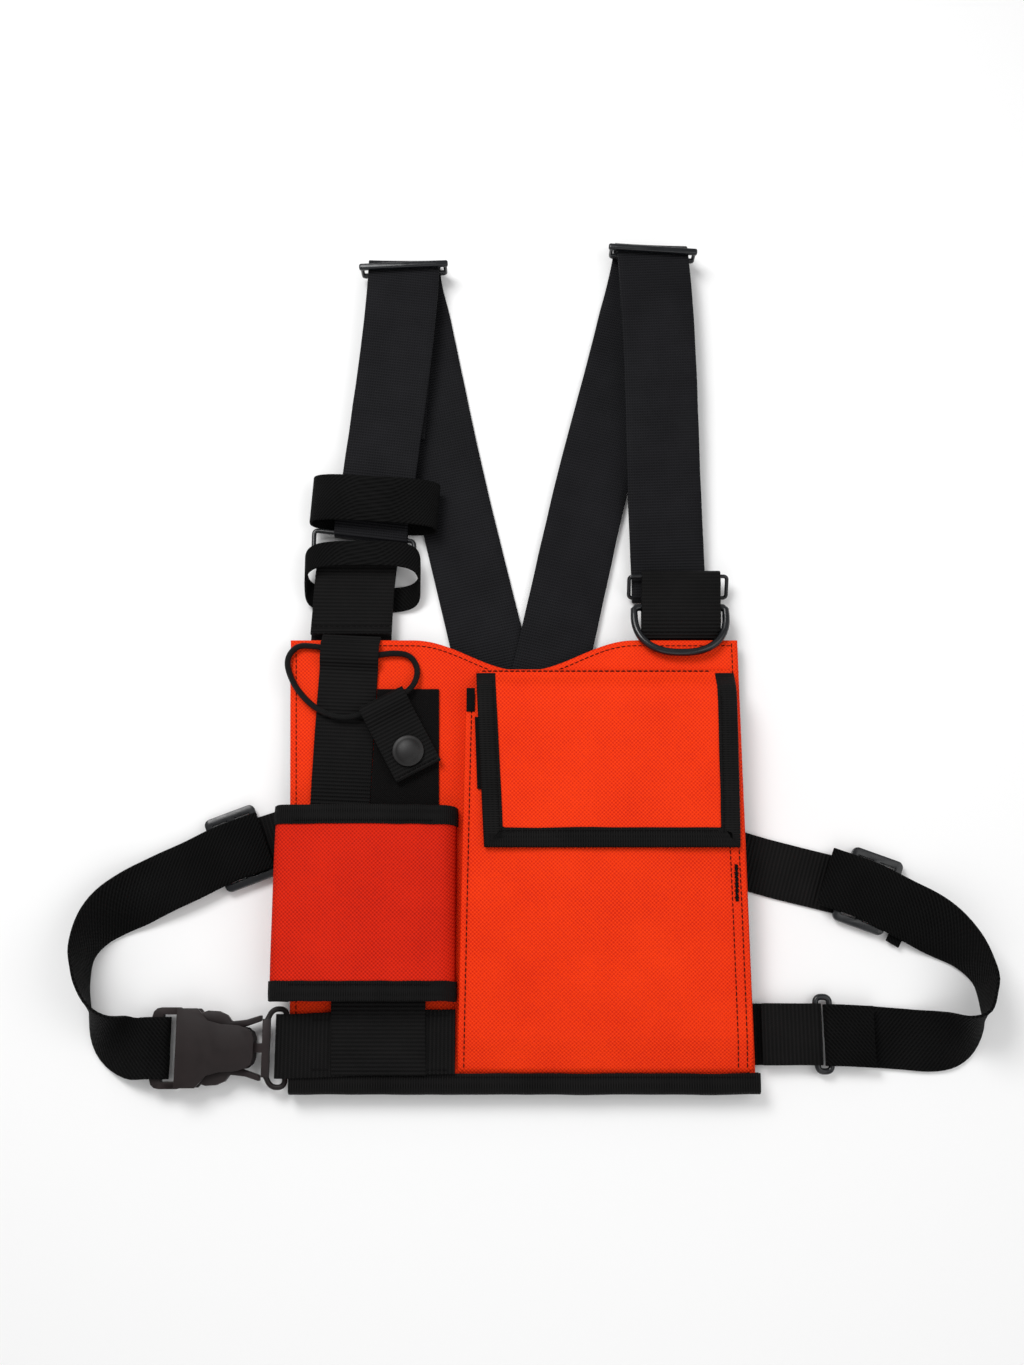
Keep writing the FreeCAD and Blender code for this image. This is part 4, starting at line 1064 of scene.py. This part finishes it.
def tabPlace(side, down, z):
    return (tab["x"] + side * math.cos(tabTurn) - down * math.sin(tabTurn),
            tab["y"] + side * math.sin(tabTurn) + down * math.cos(tabTurn), z)


def tabLayer(name, profile, finish, nodes, body="root", bend=None):
    run = curvedThrough([(0.0, d, z) for d, z in profile], 2.0)
    far = [0.0]
    for one, two in zip(run, run[1:]):
        far.append(far[-1] + math.dist(one, two))

    def shaper(column, row):
        side = (column / 8 - 0.5) * tab["width"]
        x, down, z = run[row]
        curl = 0.5 * (side / tab["width"]) * drift(down * 0.1, 0, 4.0)
        return at(*tabPlace(side, down, z + curl)), (side * mm, far[row] * mm)

    bm = shapedGrid(8, len(run) - 1, shaper)
    outward(bm)
    return finishPiece(name, bm, finish, body, nodes, bend, thick=tab["thick"], rounding=0.25)


tabLayer("snap_tab_back", [(-38, 12.2), (-20, 12.2), (0.2, 12.2), (2.6, 13.2), (3.4, 15.2), (2.7, 17.0),
                           (0.8, 17.7), (-3.2, 17.6)], "linkWebbing", ["tab_back"])
tabLayer("snap_tab_front", [(-3.0, 17.65), (-5.5, 16.9), (-9.1, 15.4), (-20, 14.9), (-38.4, 14.5)], "linkWebbing",
         ["tab_front"], "tab_front", (tabPlace(0, -2.9, 17.6), tabPlace(0, -6.5, 16.4)))

snap = dict(down=-27.0, radius=7.8, low=15.2)
snapPlace = tabPlace(0, snap["down"], snap["low"])
bm = bmesh.new()
profile = [(0.0, 3.3), (2.0, 3.25), (4.2, 2.9), (5.8, 2.3), (6.6, 1.75), (7.1, 1.75), (7.7, 1.4), (7.8, 0.8),
           (7.6, 0.2), (7.0, 0.0)]
line = [bm.verts.new((r * mm, 0, z * mm)) for r, z in profile]
for one, two in zip(line, line[1:]):
    bm.edges.new((one, two))
bmesh.ops.spin(bm, geom=bm.verts[:] + bm.edges[:], cent=(0, 0, 0), axis=(0, 0, 1), angle=2 * math.pi, steps=48,
               use_merge=True)
bmesh.ops.remove_doubles(bm, verts=bm.verts, dist=0.02 * mm)
bmesh.ops.holes_fill(bm, edges=[e for e in bm.edges if e.is_boundary])
outward(bm)
bmesh.ops.translate(bm, verts=bm.verts, vec=at(*snapPlace))
finishPiece("snap_button", bm, "snapEnamel", "tab_front", ["snap_cap"], sharp=50)
sides = []
for side in (-10.6, 10.6):
    sides.append([tabPlace(side, d, 15.15 + 0.018 * (d + 9)) for d in range(-10, -37, -3)])
sides.append([tabPlace(s, -36.4, 15.2) for s in range(-10, 11, 4)])
stitches("snap_tab_stitch", sides, "tab_front")
print("cord and tab made")

# ---- bar tacks and box stitching
bm = bmesh.new()
tack = dict(x=104.4, low=-22, length=17, count=24)
for i in range(tack["count"]):
    x, y = tack["x"], tack["low"] + tack["length"] * i / (tack["count"] - 1)
    spread = 1.1 + 0.9 * drift(i * 0.7, 2.0, 0)
    matrix = (Matrix.Translation(at(x + 0.4 * drift(i * 1.3, 5.0, 0), y, pocketFace(x, y) + 0.35))
              @ Matrix.Rotation(0.5 * drift(i * 0.9, 8.0, 0), 4, "Z")
              @ Matrix.Diagonal((spread * mm, 0.5 * mm, 0.35 * mm, 1.0)))
    bmesh.ops.create_icosphere(bm, subdivisions=1, radius=1.0, matrix=matrix)
finishPiece("pocket_bar_tack", bm, "thread", nodes=["pocket_bartack"])
boxes = []
for x0, x1, y0, y1, z in ((-104, -66, 113.5, 117.5, 9.15), (63.5, 100, 113.8, 116.4, 10.6),
                          (-47, -34, -101, -76, 12.75), (-98, -92, -101, -78, 12.75)):
    boxes.append([(x0, y0, z), (x1, y0, z)])
    boxes.append([(x0, y1, z), (x1, y1, z)])
stitches("web_stitch", boxes)

# ---- floor
bm = bmesh.new()
ground = dict(half=3.0, middle=(0, 90, -0.3))  # half its side in metres, just under the vest
bmesh.ops.create_grid(bm, x_segments=1, y_segments=1, size=ground["half"])
bmesh.ops.translate(bm, verts=bm.verts, vec=at(*ground["middle"]))
floorMesh = bpy.data.meshes.new("floor")
bm.to_mesh(floorMesh)
bm.free()
floorPaint = bpy.data.materials.new("paleFloor")
floorPaint.use_nodes = True
floorShader = floorPaint.node_tree.nodes["Principled BSDF"]
floorShader.inputs["Base Color"].default_value = (0.9, 0.9, 0.9, 1)
floorShader.inputs["Roughness"].default_value = 0.9
floorMesh.materials.append(floorPaint)
floor = bpy.data.objects.new("floor", floorMesh)
intoScene(floor)

print("scene made")
